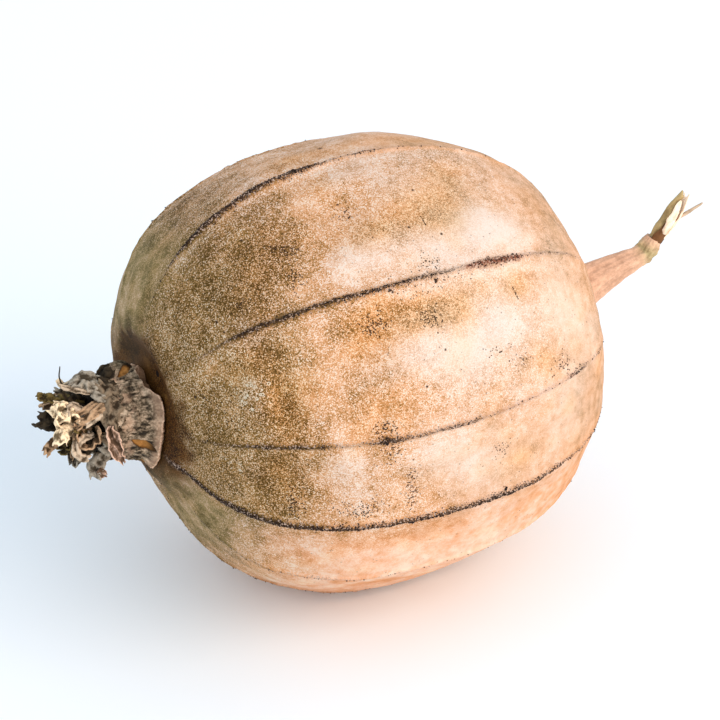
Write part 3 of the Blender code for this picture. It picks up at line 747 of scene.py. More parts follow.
def blade(shape, path, widths, facing, curl, thickness, tint, seed, columns, fray, folds):
    """A dry blade: a thin curled section swept along a path, creased, with frayed edges."""
    crumple, pleats = folds
    rows = len(path)
    tangent, outward, sideways = frame_along(path, np.asarray(facing, float))
    share = np.linspace(0, 1, rows)
    width = np.interp(share, np.linspace(0, 1, len(widths)), widths)
    across = np.linspace(-0.5, 0.5, columns + 1)
    length = travel(path)[-1]
    local = np.stack(np.broadcast_arrays(across[None, :] * width[:, None],
                                         share[:, None] * length, seed * 3.7), -1)
    margin = np.broadcast_arrays(np.sign(across), share[:, None] * length, seed * 1.3)
    edge = 1 + fray * noise_at(np.stack(margin, -1), 0.5, 31, 2)
    theta = curl * across[None, :] * edge
    radius = (width / curl)[:, None]
    creases = 0.55 - 2 * np.abs(noise_at(local, 1.2, 32, 2))
    drift = noise_at(local * np.array((0, 1, 1)), 1.6, 35)
    wave = np.abs(np.sin(math.pi * (1.6 * across[None, :] + 0.7 * drift + seed * 0.37)))
    scale = min(1, float(width.max()) / 1.8)
    ripple = scale * (crumple * creases + pleats * (wave - 0.6))
    ripple = ripple + 0.3 * scale * crumple * noise_at(local, 0.45, 33, 2)
    # Painted shade: darker in the creases and near the root, paler on the raised folds
    fold = 0.5 + 0.5 * np.tanh(2.2 * ripple / max(scale * (crumple + pleats), 1e-6))
    fold = fold * (0.55 + 0.45 * smoothstep(0, 0.35, share))[:, None]
    spoke = (outward[:, None, :] * np.cos(theta)[..., None]
             + sideways[:, None, :] * np.sin(theta)[..., None])
    tips = np.broadcast_arrays(across * width.mean(), 0, seed * 2.1)
    slip = 0.5 * noise_at(np.stack(tips, -1), 0.5, 34, 2)
    pull = (share ** 5)[:, None] * slip[None, :]
    middle = (path - outward * radius)[:, None, :] + tangent[:, None, :] * pull[..., None]
    taper = 0.35 + 0.65 * (1 - np.abs(2 * across) ** 4)
    half = 0.5 * thickness * taper[None, :] * (1 - 0.5 * share[:, None])
    outer = middle + spoke * (radius + ripple + half)[..., None]
    inner = middle + spoke * (radius + ripple - half)[..., None]
    ring = np.concatenate((outer, inner[:, ::-1]), axis=1)
    places = np.concatenate((local, local[:, ::-1]), axis=1)
    # The inner face is darker, painted shade
    folds = np.concatenate((fold, 0.55 * (1 - fold[:, ::-1])), axis=1)
    # Painted highlight along the sides and the tip
    edge_highlight = np.maximum(smoothstep(0.84, 0.98, np.abs(2 * across))[None, :],
                        smoothstep(0.93, 1, share)[:, None])
    edge_highlights = np.concatenate((edge_highlight, edge_highlight[:, ::-1]), axis=1)
    sides = ring.shape[1]
    faces = grid_faces(rows, sides).tolist()
    for row in (0, rows - 1):
        for i in range(columns):
            quad = (row * sides + i, row * sides + i + 1,
                    row * sides + sides - 2 - i, row * sides + sides - 1 - i)
            faces.append(quad if row else quad[::-1])
    shape.add(ring, faces, np.array(tint), places, folds, edge_highlights)


GREY = srgb(152, 143, 128)
DARK = srgb(56, 46, 32)
BROWN = srgb(122, 106, 86)
BLACK = srgb(30, 23, 16)
OLIVE = srgb(104, 88, 48)
CREAM = srgb(236, 212, 176)
PALE = srgb(184, 165, 142)
PINK = srgb(204, 170, 148)
TAN = srgb(176, 144, 112)

# Withered lobes: centre line in the collar's frame (along, up, side), widths, the way each
# faces, its curl in radians, its thickness and its colour
LOBES = (
    (((4.1, 2.5, 2.2), (5.4, 3.4, 2.5), (6.6, 3.9, 2.4), (7.9, 3.5, 2.2)),
     (2, 2.8, 2.6, 1.4), (0.1, 0.7, 0.7), 1.2, 0.4, GREY),
    (((6.4, 2.5, 3), (7.4, 2.9, 2.9), (8.5, 3.3, 2.5), (9, 3.6, 2.2)),
     (0.5, 0.7, 0.6, 0.3), (0, 0.3, 0.95), 0.8, 0.25, PALE),
    (((4, 1.8, 3.4), (4.8, 2.5, 3.3), (5.5, 3.3, 2.8)),
     (1.3, 1.7, 0.9), (0.3, 0.3, 0.9), 1.3, 0.35, BROWN),
    (((4.6, 1, 3.6), (5.5, 1.8, 3.5), (6.3, 2.4, 3)),
     (0.8, 1.1, 0.6), (0.4, 0.2, 0.9), 1.4, 0.35, GREY),
    (((4.2, 2.9, 1), (4, 3.9, 1.6), (3.4, 4.6, 1.7)),
     (1.8, 2, 1), (0.8, -0.2, 0.6), 1, 0.4, DARK),
    (((5, 1.4, 0.2), (7.6, 2.3, 0.3), (9.4, 2.7, 0.4), (10.5, 3, 0.3)),
     (1.6, 1.5, 1.8, 1.5), (0, 0.9, 0.4), 1.5, 0.5, OLIVE),
    (((7.4, 0.3, 0.6), (8.6, 0.8, 1.4), (9.1, 1, 2.2), (9.3, 1.05, 2.8)),
     (3, 4.2, 4.8, 4.6), (0.3, 0.9, 0), 4.6, 0.4, CREAM),
    (((8.2, 0, 2.3), (8.9, 0.7, 2.75), (9.6, 1.4, 2.6), (10.1, 1.9, 2.1)),
     (1.7, 2.2, 2, 1.2), (0.2, 0.1, 1), 1.3, 0.4, CREAM),
    (((8.4, 1.5, 2.5), (9.1, 1.75, 2.8), (9.7, 1.2, 2.9), (9.5, 0.6, 2.9)),
     (0.5, 0.6, 0.5, 0.3), (0, 0.2, 1), 0.9, 0.3, CREAM),
    (((5, -0.4, 0), (7, 0, 0.1), (9.4, 0.3, 0.3), (11.1, 0.6, 0.4)),
     (1.8, 1.6, 2.3, 1.9), (0, -0.5, 0.8), 1.4, 0.5, DARK),
    (((7.4, -0.1, 1.8), (8.8, -0.5, 2.3), (9.6, -1.1, 2.4), (10, -2, 2.3)),
     (1, 1.4, 1.6, 1.3), (0.5, 0.2, 0.9), 0.9, 0.75, CREAM),
    (((6.2, -1, 0.2), (8.4, -1.3, 0.2), (10, -1.9, 0.2), (10.8, -2.6, 0.2)),
     (1.2, 1, 1.1, 0.9), (0, -0.3, 1), 0.9, 0.5, TAN),
    (((4.8, 1.2, 3.4), (6, 0.8, 3.8), (7.1, 0.3, 3.7), (8.3, -0.2, 3.2)),
     (0.8, 1.1, 1, 0.6), (0.1, 0.6, 0.8), 1.6, 0.32, TAN),
    (((5.2, 0.5, 3.6), (6.3, 0.1, 3.9), (7.6, -0.5, 3.6)),
     (0.6, 0.9, 0.5), (0.1, 0.4, 0.9), 1.8, 0.3, PALE),
    (((5.6, 1.5, 2.9), (6.8, 1.1, 3.1), (8, 0.6, 2.9)),
     (0.7, 0.9, 0.5), (0.1, 0.7, 0.7), 1.6, 0.3, TAN),
    (((6.7, -2.1, 1.2), (7.4, -2.5, 2.3), (7.8, -2.7, 3.4)),
     (4.2, 5.6, 6), (0.3, -0.9, 0), 4.9, 0.36, TAN),
    (((6.3, -1.7, 1.7), (7.2, -2.3, 2.1), (8.3, -3.1, 1.9)),
     (1.6, 2.2, 1.4), (0.1, -0.1, 1), 1.2, 0.35, DARK),
    (((6.6, -1.5, 2.7), (7.6, -1.6, 3), (8.4, -2.2, 3), (8.5, -3, 2.8)),
     (0.5, 0.8, 0.8, 0.4), (0.1, 0.3, 1), 1.2, 0.32, PALE),
    (((8.5, -1.8, 3), (8.7, -2.8, 3), (8, -3.6, 2.8), (7.2, -3.6, 2.7)),
     (0.6, 0.9, 0.9, 0.5), (0.2, -0.2, 0.9), 1.2, 0.35, PALE),
    (((4, 1.9, 3.5), (4.7, 1, 4), (5.2, -0.3, 4.2), (5.1, -1.5, 4.3)),
     (1.5, 2.1, 1.9, 0.9), (0.3, 0.1, 1), 1.2, 0.34, BROWN),
    (((5.4, -1, 4.3), (5.5, -2.2, 4.6), (5.1, -3.5, 4.5), (4.6, -4.4, 4.3)),
     (0.7, 1.7, 1.5, 0.3), (-0.2, 0.1, -1), 2.6, 0.3, PINK),
    (((4.9, -3.3, 1.2), (5.8, -4, 1.3), (6.4, -4.8, 1.3), (6.3, -5.6, 1.2)),
     (1.3, 1.5, 1.9, 1.4), (0.5, -0.4, 0.8), 1.3, 0.42, GREY),
    (((6.2, -4.9, 1.7), (5.8, -5.4, 1.7), (5.4, -5.7, 1.5)),
     (0.7, 0.9, 0.5), (0.3, 0.1, 0.9), 0.9, 0.32, PINK),
    (((7.9, 3, 1.9), (8.35, 3.6, 1.4), (8.5, 4.4, 1.2), (8.25, 5.3, 1.1)),
     (0.3, 0.22, 0.18, 0.14), (1, 0, 0.3), 0.5, 0.16, DARK),
)
# The stub and the filament are smooth
SMOOTH_LOBES = (10, 23)
# Depth of a lobe's creases and pleats, share of its width that is frayed, and its grid
SMOOTH_FOLDS = (0.05, 0.02)
LOBE_FOLDS = (0.26, 0.2)
LOBE_FRAY = 0.2
LOBE_COLUMNS = 20
LOBE_STEPS = 10
SHRED_COLUMNS = 10
SHRED_STEPS = 6
# A lobe that curls by more radians than this is a tube and has more columns
CURLED = 3
CURLED_COLUMNS = 36
# Seeded lobes: on the collar's edge, on the far side, inside, and shreds between them
EDGE_LOBES = 12
FLOWER_SEED = 11
BACK_LOBES = 7
BACK_FIRST = math.radians(196)
BACK_LAST = math.radians(356)
INNER_LOBES = 3
EDGE_SEED = 3
SHRED_SEED = 4
SHREDS = 40
# The dark core of the flower: distance along the collar's axis and radius, in mm
CORE_PROFILE = ((3.35, 2.3), (4.1, 2.6), (4.6, 3.2), (5.3, 3.1), (6, 2), (6.6, 0.8))
CORE_SIDES = 72
CORE_ROWS = 30
CORE_RADIUS = 3


def back_lobes():
    """Withered lobes on the far side, by the same seeded rule as the solids'."""
    draw = random.Random(FLOWER_SEED)
    tints = (GREY, OLIVE, PALE, DARK, TAN, GREY, CREAM)
    for i in range(BACK_LOBES):
        turn = BACK_FIRST + (BACK_LAST - BACK_FIRST) * (i + 0.5) / BACK_LOBES
        turn += draw.uniform(-0.09, 0.09)
        reach = draw.uniform(7.4, 10.4) - (1.8 if i == 0 else 0)
        spread = draw.uniform(3.4, 4.6)
        path = []
        for share, radius in ((0, 2.3), (0.35, 3.3), (0.7, 3.9), (1, spread)):
            swing = turn + 0.12 * draw.uniform(-1, 1) * share
            along = 5 + (reach - 5) * share
            path.append(about(along, radius, swing))
        facing = about(0.1, 1, turn)
        widths = (1.9, draw.uniform(2.1, 2.7), draw.uniform(1.8, 2.5), draw.uniform(0.9, 1.5))
        yield path, widths, facing, draw.uniform(1.2, 2.2), 0.45, tints[i]
    for i in range(INNER_LOBES):
        turn = TURN * (i + 0.2) / INNER_LOBES + math.pi
        reach = draw.uniform(7, 8.6)
        path = [about(5, 0.9, turn), about(6, 1.3, turn), about(reach, 1.5, turn)]
        facing = about(0.1, 1, turn)
        yield path, (1.6, 2, 1.2), facing, 1.6, 0.45, BLACK


def edge_lobes():
    """Short crumpled lobes that stand on the collar's outer edge."""
    draw = random.Random(EDGE_SEED)
    tints = (GREY, DARK, BROWN, PALE, BROWN, GREY, DARK)
    for i in range(EDGE_LOBES):
        turn = TURN * (i + draw.uniform(-0.25, 0.25)) / EDGE_LOBES
        lean = draw.uniform(-0.3, 0.25)
        path = []
        for along, radius in ((3.4, 3.75), (4.2, 4), (4.9, 3.95 + lean), (5.6, 3.4 + lean)):
            swing = turn + draw.uniform(-0.06, 0.06)
            path.append(about(along, radius, swing))
        facing = about(0.1, 1, turn)
        widths = (2, 2.3, draw.uniform(1.4, 2.1), draw.uniform(0.5, 1.1))
        yield path, widths, facing, draw.uniform(0.7, 1.3), 0.3, tints[i % len(tints)]


def shreds():
    """Small torn shreds that fill the flower between its lobes."""
    draw = random.Random(SHRED_SEED)
    for _ in range(SHREDS):
        turn = draw.uniform(0, TURN)
        inner = draw.uniform(0.6, 2.6)
        start = draw.uniform(4.3, 6.2)
        length = draw.uniform(1.4, 3.2)
        path = []
        for share in (0, 0.4, 0.75, 1):
            radius = inner + share * draw.uniform(0.6, 1.8)
            swing = turn + share * draw.uniform(-0.35, 0.35)
            path.append(about(start + length * share, radius, swing))
        facing = (0.2, math.cos(turn + draw.uniform(-0.8, 0.8)),
                  math.sin(turn + draw.uniform(-0.8, 0.8)))
        widths = (draw.uniform(0.5, 1), draw.uniform(0.7, 1.4), draw.uniform(0.5, 1.2),
                  draw.uniform(0.15, 0.5))
        tint = draw.choice((GREY, DARK, PALE, OLIVE, TAN, DARK, GREY, BLACK))
        yield path, widths, facing, draw.uniform(0.8, 2.4), 0.28, tint


def make_flower(material):
    shape = Shape()
    angle = TURN * np.arange(CORE_SIDES)[None, :] / CORE_SIDES
    knots = np.array(CORE_PROFILE)
    even = np.linspace(0, len(knots) - 1, CORE_ROWS)
    along = np.interp(even, range(len(knots)), knots[:, 0])[:, None]
    radius = np.interp(even, range(len(knots)), knots[:, 1])[:, None]
    place = np.stack(np.broadcast_arrays(angle * CORE_RADIUS, along, radius), -1)
    around = np.broadcast_arrays(CORE_RADIUS * np.cos(angle), CORE_RADIUS * np.sin(angle), along)
    lumps = noise_at(np.stack(around, -1), 1, 41, 3)
    radius = radius * (1 + 0.08 * np.sin(3 * angle + along)) + 0.28 * lumps
    core = collar_points(along, radius * np.cos(angle), radius * np.sin(angle))
    shape.add(core, grid_faces(CORE_ROWS, CORE_SIDES), np.array(BLACK), place)
    large = [*LOBES, *edge_lobes(), *back_lobes()]
    for i, (points, widths, facing, curl, thickness, tint) in enumerate([*large, *shreds()]):
        small = i >= len(large)
        path = smooth_path([collar_points(*map(np.float64, point)) for point in points],
                           SHRED_STEPS if small else LOBE_STEPS)
        along, up, side = facing
        outward = unit(COLLAR_AXIS * along + COLLAR_UP * up + COLLAR_SIDE * side)
        columns = CURLED_COLUMNS if curl > CURLED else SHRED_COLUMNS if small else LOBE_COLUMNS
        folds = SMOOTH_FOLDS if i in SMOOTH_LOBES else LOBE_FOLDS
        blade(shape, path, widths, outward, curl, thickness, tint, i, columns, LOBE_FRAY, folds)
    flower = shape.piece("withered_lobes")
    flower.data.materials.append(material)
    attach(flower, "root")
    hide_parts("withered_flower")


# Stalk: centre line and radii, as in the solids, from its foot on the gourd to the knee
STALK_PATH = ((22.35, 0.65, 1.45), (22.9, 0.6, 1.75), (23.6, 0.5, 2.25), (25, 0.4, 2.95),
              (27.8, 0.2, 4), (29.6, 0, 4.6), (30.5, 0, 4.95), (31.15, 0, 5.75),
              (31.5, 0, 6.3))
STALK_RADII = (2.55, 2.3, 2.1, 1.86, 1.35, 1.02, 1.08, 0.98, 0.8)
STALK_SIDES = 96
# The knee's distance along the stalk, in mm
KNEE_REACH = 9.2
# The foot's first rows are drawn back to a plane just under the skin
FOOT_PLANE = 22.2
FOOT_ROWS = 8
STALK_STEPS = 12
PINK_TAN = srgb(206, 168, 142)
KNEE_OLIVE = srgb(172, 158, 118)
HUSK = srgb(174, 154, 108)
SCORCH = srgb(104, 70, 40)
CHALK = srgb(240, 222, 200)
# Painted shade: the dark inside of the hollow, split end
HOLLOW_SHADE = srgb(64, 44, 28)
# Split blades at the dry end, in the order of the lobes' values but about the gourd's middle
STRIPS = (
    (((30.9, 0.1, 5.2), (31.4, 0.1, 6.2), (32.1, 0.1, 7.4), (33.4, 0.1, 9.2), (34.7, 0, 10.6)),
     (1.6, 1.5, 1.4, 1.1, 0.7), (-1, -0.3, 0.6), 2.2, 0.42, HUSK),
    (((31.1, -0.5, 5.7), (31.8, -0.75, 6.5), (32.7, -0.7, 7.6)),
     (1.3, 1.5, 0.8), (0.1, -1, 0.2), 1.6, 0.3, SCORCH),
    (((32.3, -0.75, 6.9), (33.2, -0.75, 8.2), (34.2, -0.5, 9.8)),
     (0.7, 1.2, 0.6), (0.3, -1, 0.2), 1.2, 0.3, CHALK),
    (((31.2, 0, 5), (31.9, 0, 6), (33, -0.2, 7), (34.2, -0.3, 8.6), (35.1, -0.3, 10.4)),
     (1.6, 1.5, 1.3, 1.3, 0.8), (1, 0.3, -0.6), 1.9, 0.42, CHALK),
    # A dark strip of painted shade inside the split
    (((31.4, 0, 5.6), (32.4, -0.1, 7), (33.4, -0.1, 8.4), (34.4, -0.1, 9.6)),
     (0.9, 0.9, 0.7, 0.4), (-0.3, -1, 0), 1.2, 0.4, HOLLOW_SHADE),
    (((32, -0.5, 6.4), (33, -0.6, 7.8), (34, -0.6, 9)),
     (0.5, 0.6, 0.3), (0.2, -1, 0.1), 0.8, 0.25, CHALK),
    (((32.2, 0.4, 6.2), (33.2, 0.6, 7.9), (34, 0.5, 9.6)),
     (0.8, 0.9, 0.4), (0.2, 1, 0.1), 1.4, 0.3, PALE),
    (((34, -0.3, 8.1), (35, -0.2, 8.3), (36.8, 0, 8.8)),
     (0.5, 0.42, 0.24), (0.3, -0.2, 1), 0.5, 0.3, PALE),
)
STRIP_FOLDS = (0.07, 0.06)
STRIP_FRAY = 0.14
STRIP_COLUMNS = 14
STRIP_STEPS = 9
STRIP_SEED = 80


def make_stalk(material):
    """The woody stalk: a flared foot, ribbed flanks, a lumpy knee and a split dry end."""
    path = smooth_path(STALK_PATH, STALK_STEPS)
    rows = len(path)
    radii = np.interp(np.linspace(0, 1, rows), np.linspace(0, 1, len(STALK_RADII)), STALK_RADII)
    _, outward, sideways = frame_along(path, np.array((0, 0, 1)))
    angle = TURN * np.arange(STALK_SIDES)[None, :] / STALK_SIDES
    spoke = (outward[:, None, :] * np.cos(angle)[..., None]
             + sideways[:, None, :] * np.sin(angle)[..., None])
    plain = path[:, None, :] + spoke * radii[:, None, None]
    travelled = travel(path)[:, None]
    place = np.stack(np.broadcast_arrays(angle * 1.5, travelled, 0), -1)
    ribs = 0.06 * np.cos(5 * angle) + 0.022 * np.cos(17 * angle + 0.4 * travelled)
    knee = np.exp(-((travelled - KNEE_REACH) / 0.9) ** 2)
    lumps = (0.05 + 0.12 * knee) * noise_at(plain, 0.8, 51, 3) + 0.05 * noise_at(plain, 2.4, 52)
    points = path[:, None, :] + spoke * (radii[:, None] * (1 + ribs) + lumps)[..., None]
    pull = np.minimum(1, np.arange(rows) / FOOT_ROWS)[:, None]
    outside = np.maximum(0, points[..., 0] - FOOT_PLANE)
    points[..., 0] -= outside * (1 - pull)
    shape = Shape()
    tint = (np.array(PINK_TAN) * (1 - knee[..., None]) + np.array(KNEE_OLIVE) * knee[..., None])
    tint = np.broadcast_to(tint, points.shape)
    # Painted shade in the grooves and a painted highlight on the ribs and lumps
    facts = {"tint": tint, "fold": 0.5 + 4 * lumps + 2 * ribs, "place": place}
    flat, faces, facts = close_ends(points, grid_faces(rows, STALK_SIDES), facts)
    # The end cap is painted dark, as the shade inside the hollow end
    facts["tint"][-2:] = HOLLOW_SHADE
    facts["fold"][-2:] = 0
    shape.add(flat, faces, facts["tint"], facts["place"], facts["fold"][:, 0])
    for i, (line, widths, facing, curl, thickness, colour) in enumerate(STRIPS):
        blade(shape, smooth_path(line, STRIP_STEPS), widths, unit(np.array(facing)), curl,
              thickness, colour, STRIP_SEED + i, STRIP_COLUMNS, STRIP_FRAY, STRIP_FOLDS)
    stalk = shape.piece("dry_stalk")
    stalk.data.materials.append(material)
    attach(stalk, "root")
    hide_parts("peduncle")


class Nodes:
    """A material's node tree, built by short calls."""

    def __init__(self, name):
        self.material = bpy.data.materials.new(name)
        self.material.use_nodes = True
        self.tree = self.material.node_tree
        self.shader = self.tree.nodes["Principled BSDF"]
        where = self.node("ShaderNodeTexCoord", {}).outputs["Object"]
        self.place = self.stretch(where, (1 / MM, 1 / MM, 1 / MM))

    def feed(self, socket, value):
        if isinstance(value, bpy.types.NodeSocket):
            self.tree.links.new(value, socket)
        elif socket.type == "RGBA":
            socket.default_value = (*value[:3], 1)
        else:
            socket.default_value = value

    def node(self, kind, inputs, **settings):
        made = self.tree.nodes.new(kind)
        for key, value in settings.items():
            setattr(made, key, value)
        for key, value in inputs.items():
            self.feed(made.inputs[key], value)
        return made

    def stretch(self, place, factors):
        """A place with each of its numbers multiplied."""
        inputs = {0: place, 1: factors}
        return self.node("ShaderNodeVectorMath", inputs, operation="MULTIPLY").outputs[0]

    def math(self, operation, first, second=0):
        inputs = {0: first, 1: second}
        return self.node("ShaderNodeMath", inputs, operation=operation).outputs[0]

    def times(self, first, second):
        return self.math("MULTIPLY", first, second)

    def add(self, *terms):
        """The sum of (value, factor) pairs and plain numbers."""
        total = None
        for term in terms:
            part = self.times(*term) if isinstance(term, tuple) else term
            total = part if total is None else self.math("ADD", total, part)
        return total

    def fade(self, value, low, high):
        """0 at low and 1 at high, smoothly."""
        inputs = {"Value": value, "From Min": low, "From Max": high}
        node = self.node("ShaderNodeMapRange", inputs, interpolation_type="SMOOTHSTEP")
        return node.outputs["Result"]

    def fact(self, name, output="Fac"):
        """A value that the mesh carries at its points."""
        return self.node("ShaderNodeAttribute", {}, attribute_name=name).outputs[output]

    def noise(self, scale, detail=2, rough=0.55, place=None):
        inputs = {"Scale": scale, "Detail": detail, "Roughness": rough,
                  "Vector": place or self.place}
        return self.node("ShaderNodeTexNoise", inputs).outputs["Fac"]

    def cells(self, scale):
        """Distance to the nearest cell's middle, and a random number of that cell."""
        cell = self.node("ShaderNodeTexVoronoi", {"Scale": scale, "Vector": self.place})
        split = self.node("ShaderNodeSeparateColor", {0: cell.outputs["Color"]})
        return cell.outputs["Distance"], split.outputs[0]

    def mix(self, share, first, second, blend="MIX"):
        inputs = {0: share, 6: first, 7: second}
        node = self.node("ShaderNodeMix", inputs, data_type="RGBA", blend_type=blend,
                         clamp_factor=True)
        return node.outputs[2]

    def ramp(self, value, *stops):
        node = self.node("ShaderNodeValToRGB", {"Fac": value})
        elements = node.color_ramp.elements
        while len(elements) < len(stops):
            elements.new(0.5)
        for element, (position, colour) in zip(elements, stops):
            element.position = position
            element.color = (*colour, 1)
        return node.outputs["Color"]

    def bump(self, height, depth_mm, strength):
        inputs = {"Height": height, "Distance": depth_mm * MM, "Strength": strength}
        node = self.node("ShaderNodeBump", inputs)
        self.tree.links.new(node.outputs["Normal"], self.shader.inputs["Normal"])

    def finish(self, colour, roughness, specular):
        self.feed(self.shader.inputs["Base Color"], colour)
        self.feed(self.shader.inputs["Roughness"], roughness)
        self.shader.inputs["Specular IOR Level"].default_value = specular
        return self.material


def spot_at(n, middle, radius, ragged):
    """1 inside a round spot of the skin and 0 outside it, with a slightly ragged edge."""
    inputs = {0: n.place, 1: tuple(middle + BODY_CENTRE)}
    apart = n.node("ShaderNodeVectorMath", inputs, operation="DISTANCE").outputs["Value"]
    reach = n.add(apart, (ragged, 0.5 * radius))
    return n.fade(reach, radius + 0.05, radius - 0.05)


# Rind: colours of the level from dark to pale, and tints where the mesh's facts ask for them
RIND_STOPS = (
    (0, (0.080, 0.038, 0.006)), (0.18, (0.165, 0.090, 0.024)), (0.34, (0.290, 0.156, 0.046)),
    (0.46, (0.430, 0.216, 0.080)), (0.58, (0.570, 0.288, 0.130)), (0.70, (0.670, 0.372, 0.205)),
    (0.84, (0.730, 0.490, 0.345)), (1, (0.780, 0.670, 0.550)),
)
# Pale cream that the rind turns towards: its own pale bloom and grains, and painted highlights
BLOOM_AND_HIGHLIGHT = (0.70, 0.62, 0.55)
# Of the tints, ochre and olive are the rind's own colour; the bluish one is painted cool shade
# and the warm one painted bounce light below
RIND_TINTS = (("ochre", (1.00, 0.87, 0.66)), ("olive", (0.92, 0.98, 0.90)),
              ("painted_cool_shade", (0.99, 1.24, 1.70)), ("under", (1.10, 0.95, 0.86)))
STAIN_TINT = (0.24, 0.15, 0.05)
RING_COLOUR = (0.74, 0.66, 0.50)
SPECK_COLOUR = srgb(42, 24, 14)
PIT_COLOUR = srgb(22, 12, 8)
INK = srgb(32, 15, 8)
RUST_INK = srgb(118, 64, 42)
FLAKE = srgb(206, 178, 158)
GRAINS_PER_MM = 8.5
SPECKS_PER_MM = 8


def rind_material():
    """Dry papery rind: fine pale grains over ochre and olive, with dark crust on the crests."""
    n = Nodes("dried_rind")
    apart, chance = n.cells(GRAINS_PER_MM)
    fine = n.noise(11.5, 1.2, 0.6)
    middle = n.noise(1.1, 3, 0.55)
    ragged = n.add((n.noise(2.6, 3, 0.7), 2), -1)
    grain = n.add((fine, 4.6), (chance, 1.5), (apart, -1.1), -2.6)
    height = n.times(grain, n.fact("grain"))
    height = n.math("MAXIMUM", height, n.times(height, 0.55))
    level = n.add((height, 0.52), n.fact("tone"), (middle, 0.50), -0.29)
    colour = n.ramp(level, *RIND_STOPS)
    # Mix towards pale cream: the rind's own pale grains and bloom, with painted highlights
    bloom_and_highlight = n.add((n.fact("bloom_and_highlight"), 1), (height, 0.22), (middle, 0.5), -0.27)
    colour = n.mix(bloom_and_highlight, colour, BLOOM_AND_HIGHLIGHT)
    for name, tint in RIND_TINTS:
        colour = n.mix(n.fact(name), colour, tint, "MULTIPLY")
    stain = n.times(n.fact("stain"), n.fade(n.noise(1.6, 3), 0.05, 0.4))
    colour = n.mix(stain, colour, STAIN_TINT, "MULTIPLY")

    where, _ = n.cells(1.9)
    ring = n.math("ABSOLUTE", n.math("SUBTRACT", where, 0.26))
    ring = n.times(n.fade(ring, 0.11, 0.04), n.fade(n.fact("rings"), 0.35, 0.7))
    colour = n.mix(n.times(ring, 0.75), colour, RING_COLOUR)

    _, lot = n.cells(SPECKS_PER_MM)
    patch = n.noise(2.2, 2)
    often = n.add((n.fact("specks"), 0.3), (patch, 0.16), -0.085)
    often = n.times(often, n.fade(n.fact("specks"), -0.1, 0.5))
    often = n.add(lot, often, (n.times(n.fact("specks"), patch), 0.3))
    speck = n.fade(often, 0.985, 1.01)
    for along, degrees, radius in LONE_SPECKS:
        spot = spot_at(n, place_on_skin(along, degrees), radius, ragged)
        speck = n.math("MAXIMUM", speck, spot)
    colour = n.mix(n.times(speck, 0.88), colour, SPECK_COLOUR)
    run, degrees, radius = PIT
    hole = spot_at(n, skin_point(run, math.radians(degrees)), radius, ragged)
    colour = n.mix(hole, colour, PIT_COLOUR)

    crust = n.fact("crust")
    reach = n.times(n.add((crust, 0.54), 0.2), n.fact("crust_half"))
    loose = n.add((ragged, 0.12), (fine, 1.1), (chance, 0.34), -0.69)
    inside = n.add(n.math("SUBTRACT", reach, n.fact("crest_mm")), loose)
    line = n.times(n.fade(inside, -0.04, 0.07), n.fade(crust, 0.02, 0.65))
    ink = n.mix(n.fact("rust"), INK, RUST_INK)
    ink = n.mix(n.times(n.fade(chance, 0.74, 0.84), 0.7), ink, FLAKE)
    colour = n.mix(n.times(line, 0.94), colour, ink)
    depth = n.add((height, 0.30), (speck, -0.4), (hole, -6), (line, 0.5))
    n.bump(depth, 0.05, 0.5)
    return n.finish(colour, n.add((grain, -0.03), 0.7), 0.12)


CRUMB_STOPS = ((0.3, srgb(20, 11, 8)), (0.55, srgb(44, 27, 19)), (0.75, srgb(124, 90, 68)))


def crumb_material():
    """Black-brown crumbs with a few paler faces."""
    n = Nodes("crest_crust")
    colour = n.ramp(n.noise(2.4, 2), *CRUMB_STOPS)
    n.bump(n.noise(6, 2), 0.03, 0.5)
    return n.finish(colour, 0.6, 0.2)


# Collar: colours of its wall, of the torn skin under its rim, of the rim and of the windows
WALL_STOPS = ((0.04, srgb(46, 37, 26)), (0.34, srgb(104, 88, 68)),
              (0.56, srgb(148, 128, 104)), (0.9, srgb(214, 186, 156)))
TORN_STOPS = ((0.3, srgb(96, 66, 42)), (0.7, srgb(186, 142, 104)))
RIM_STOPS = ((0.3, srgb(190, 146, 114)), (0.65, srgb(246, 206, 172)))
AMBER_STOPS = ((0.3, srgb(70, 46, 22)), (0.6, srgb(134, 90, 40)), (1, srgb(196, 136, 70)))
PINKISH = srgb(196, 158, 128)
BULGE_TINT = (0.62, 0.66, 0.54)
OUTLINE = srgb(60, 46, 34)
CORNER = srgb(24, 16, 10)


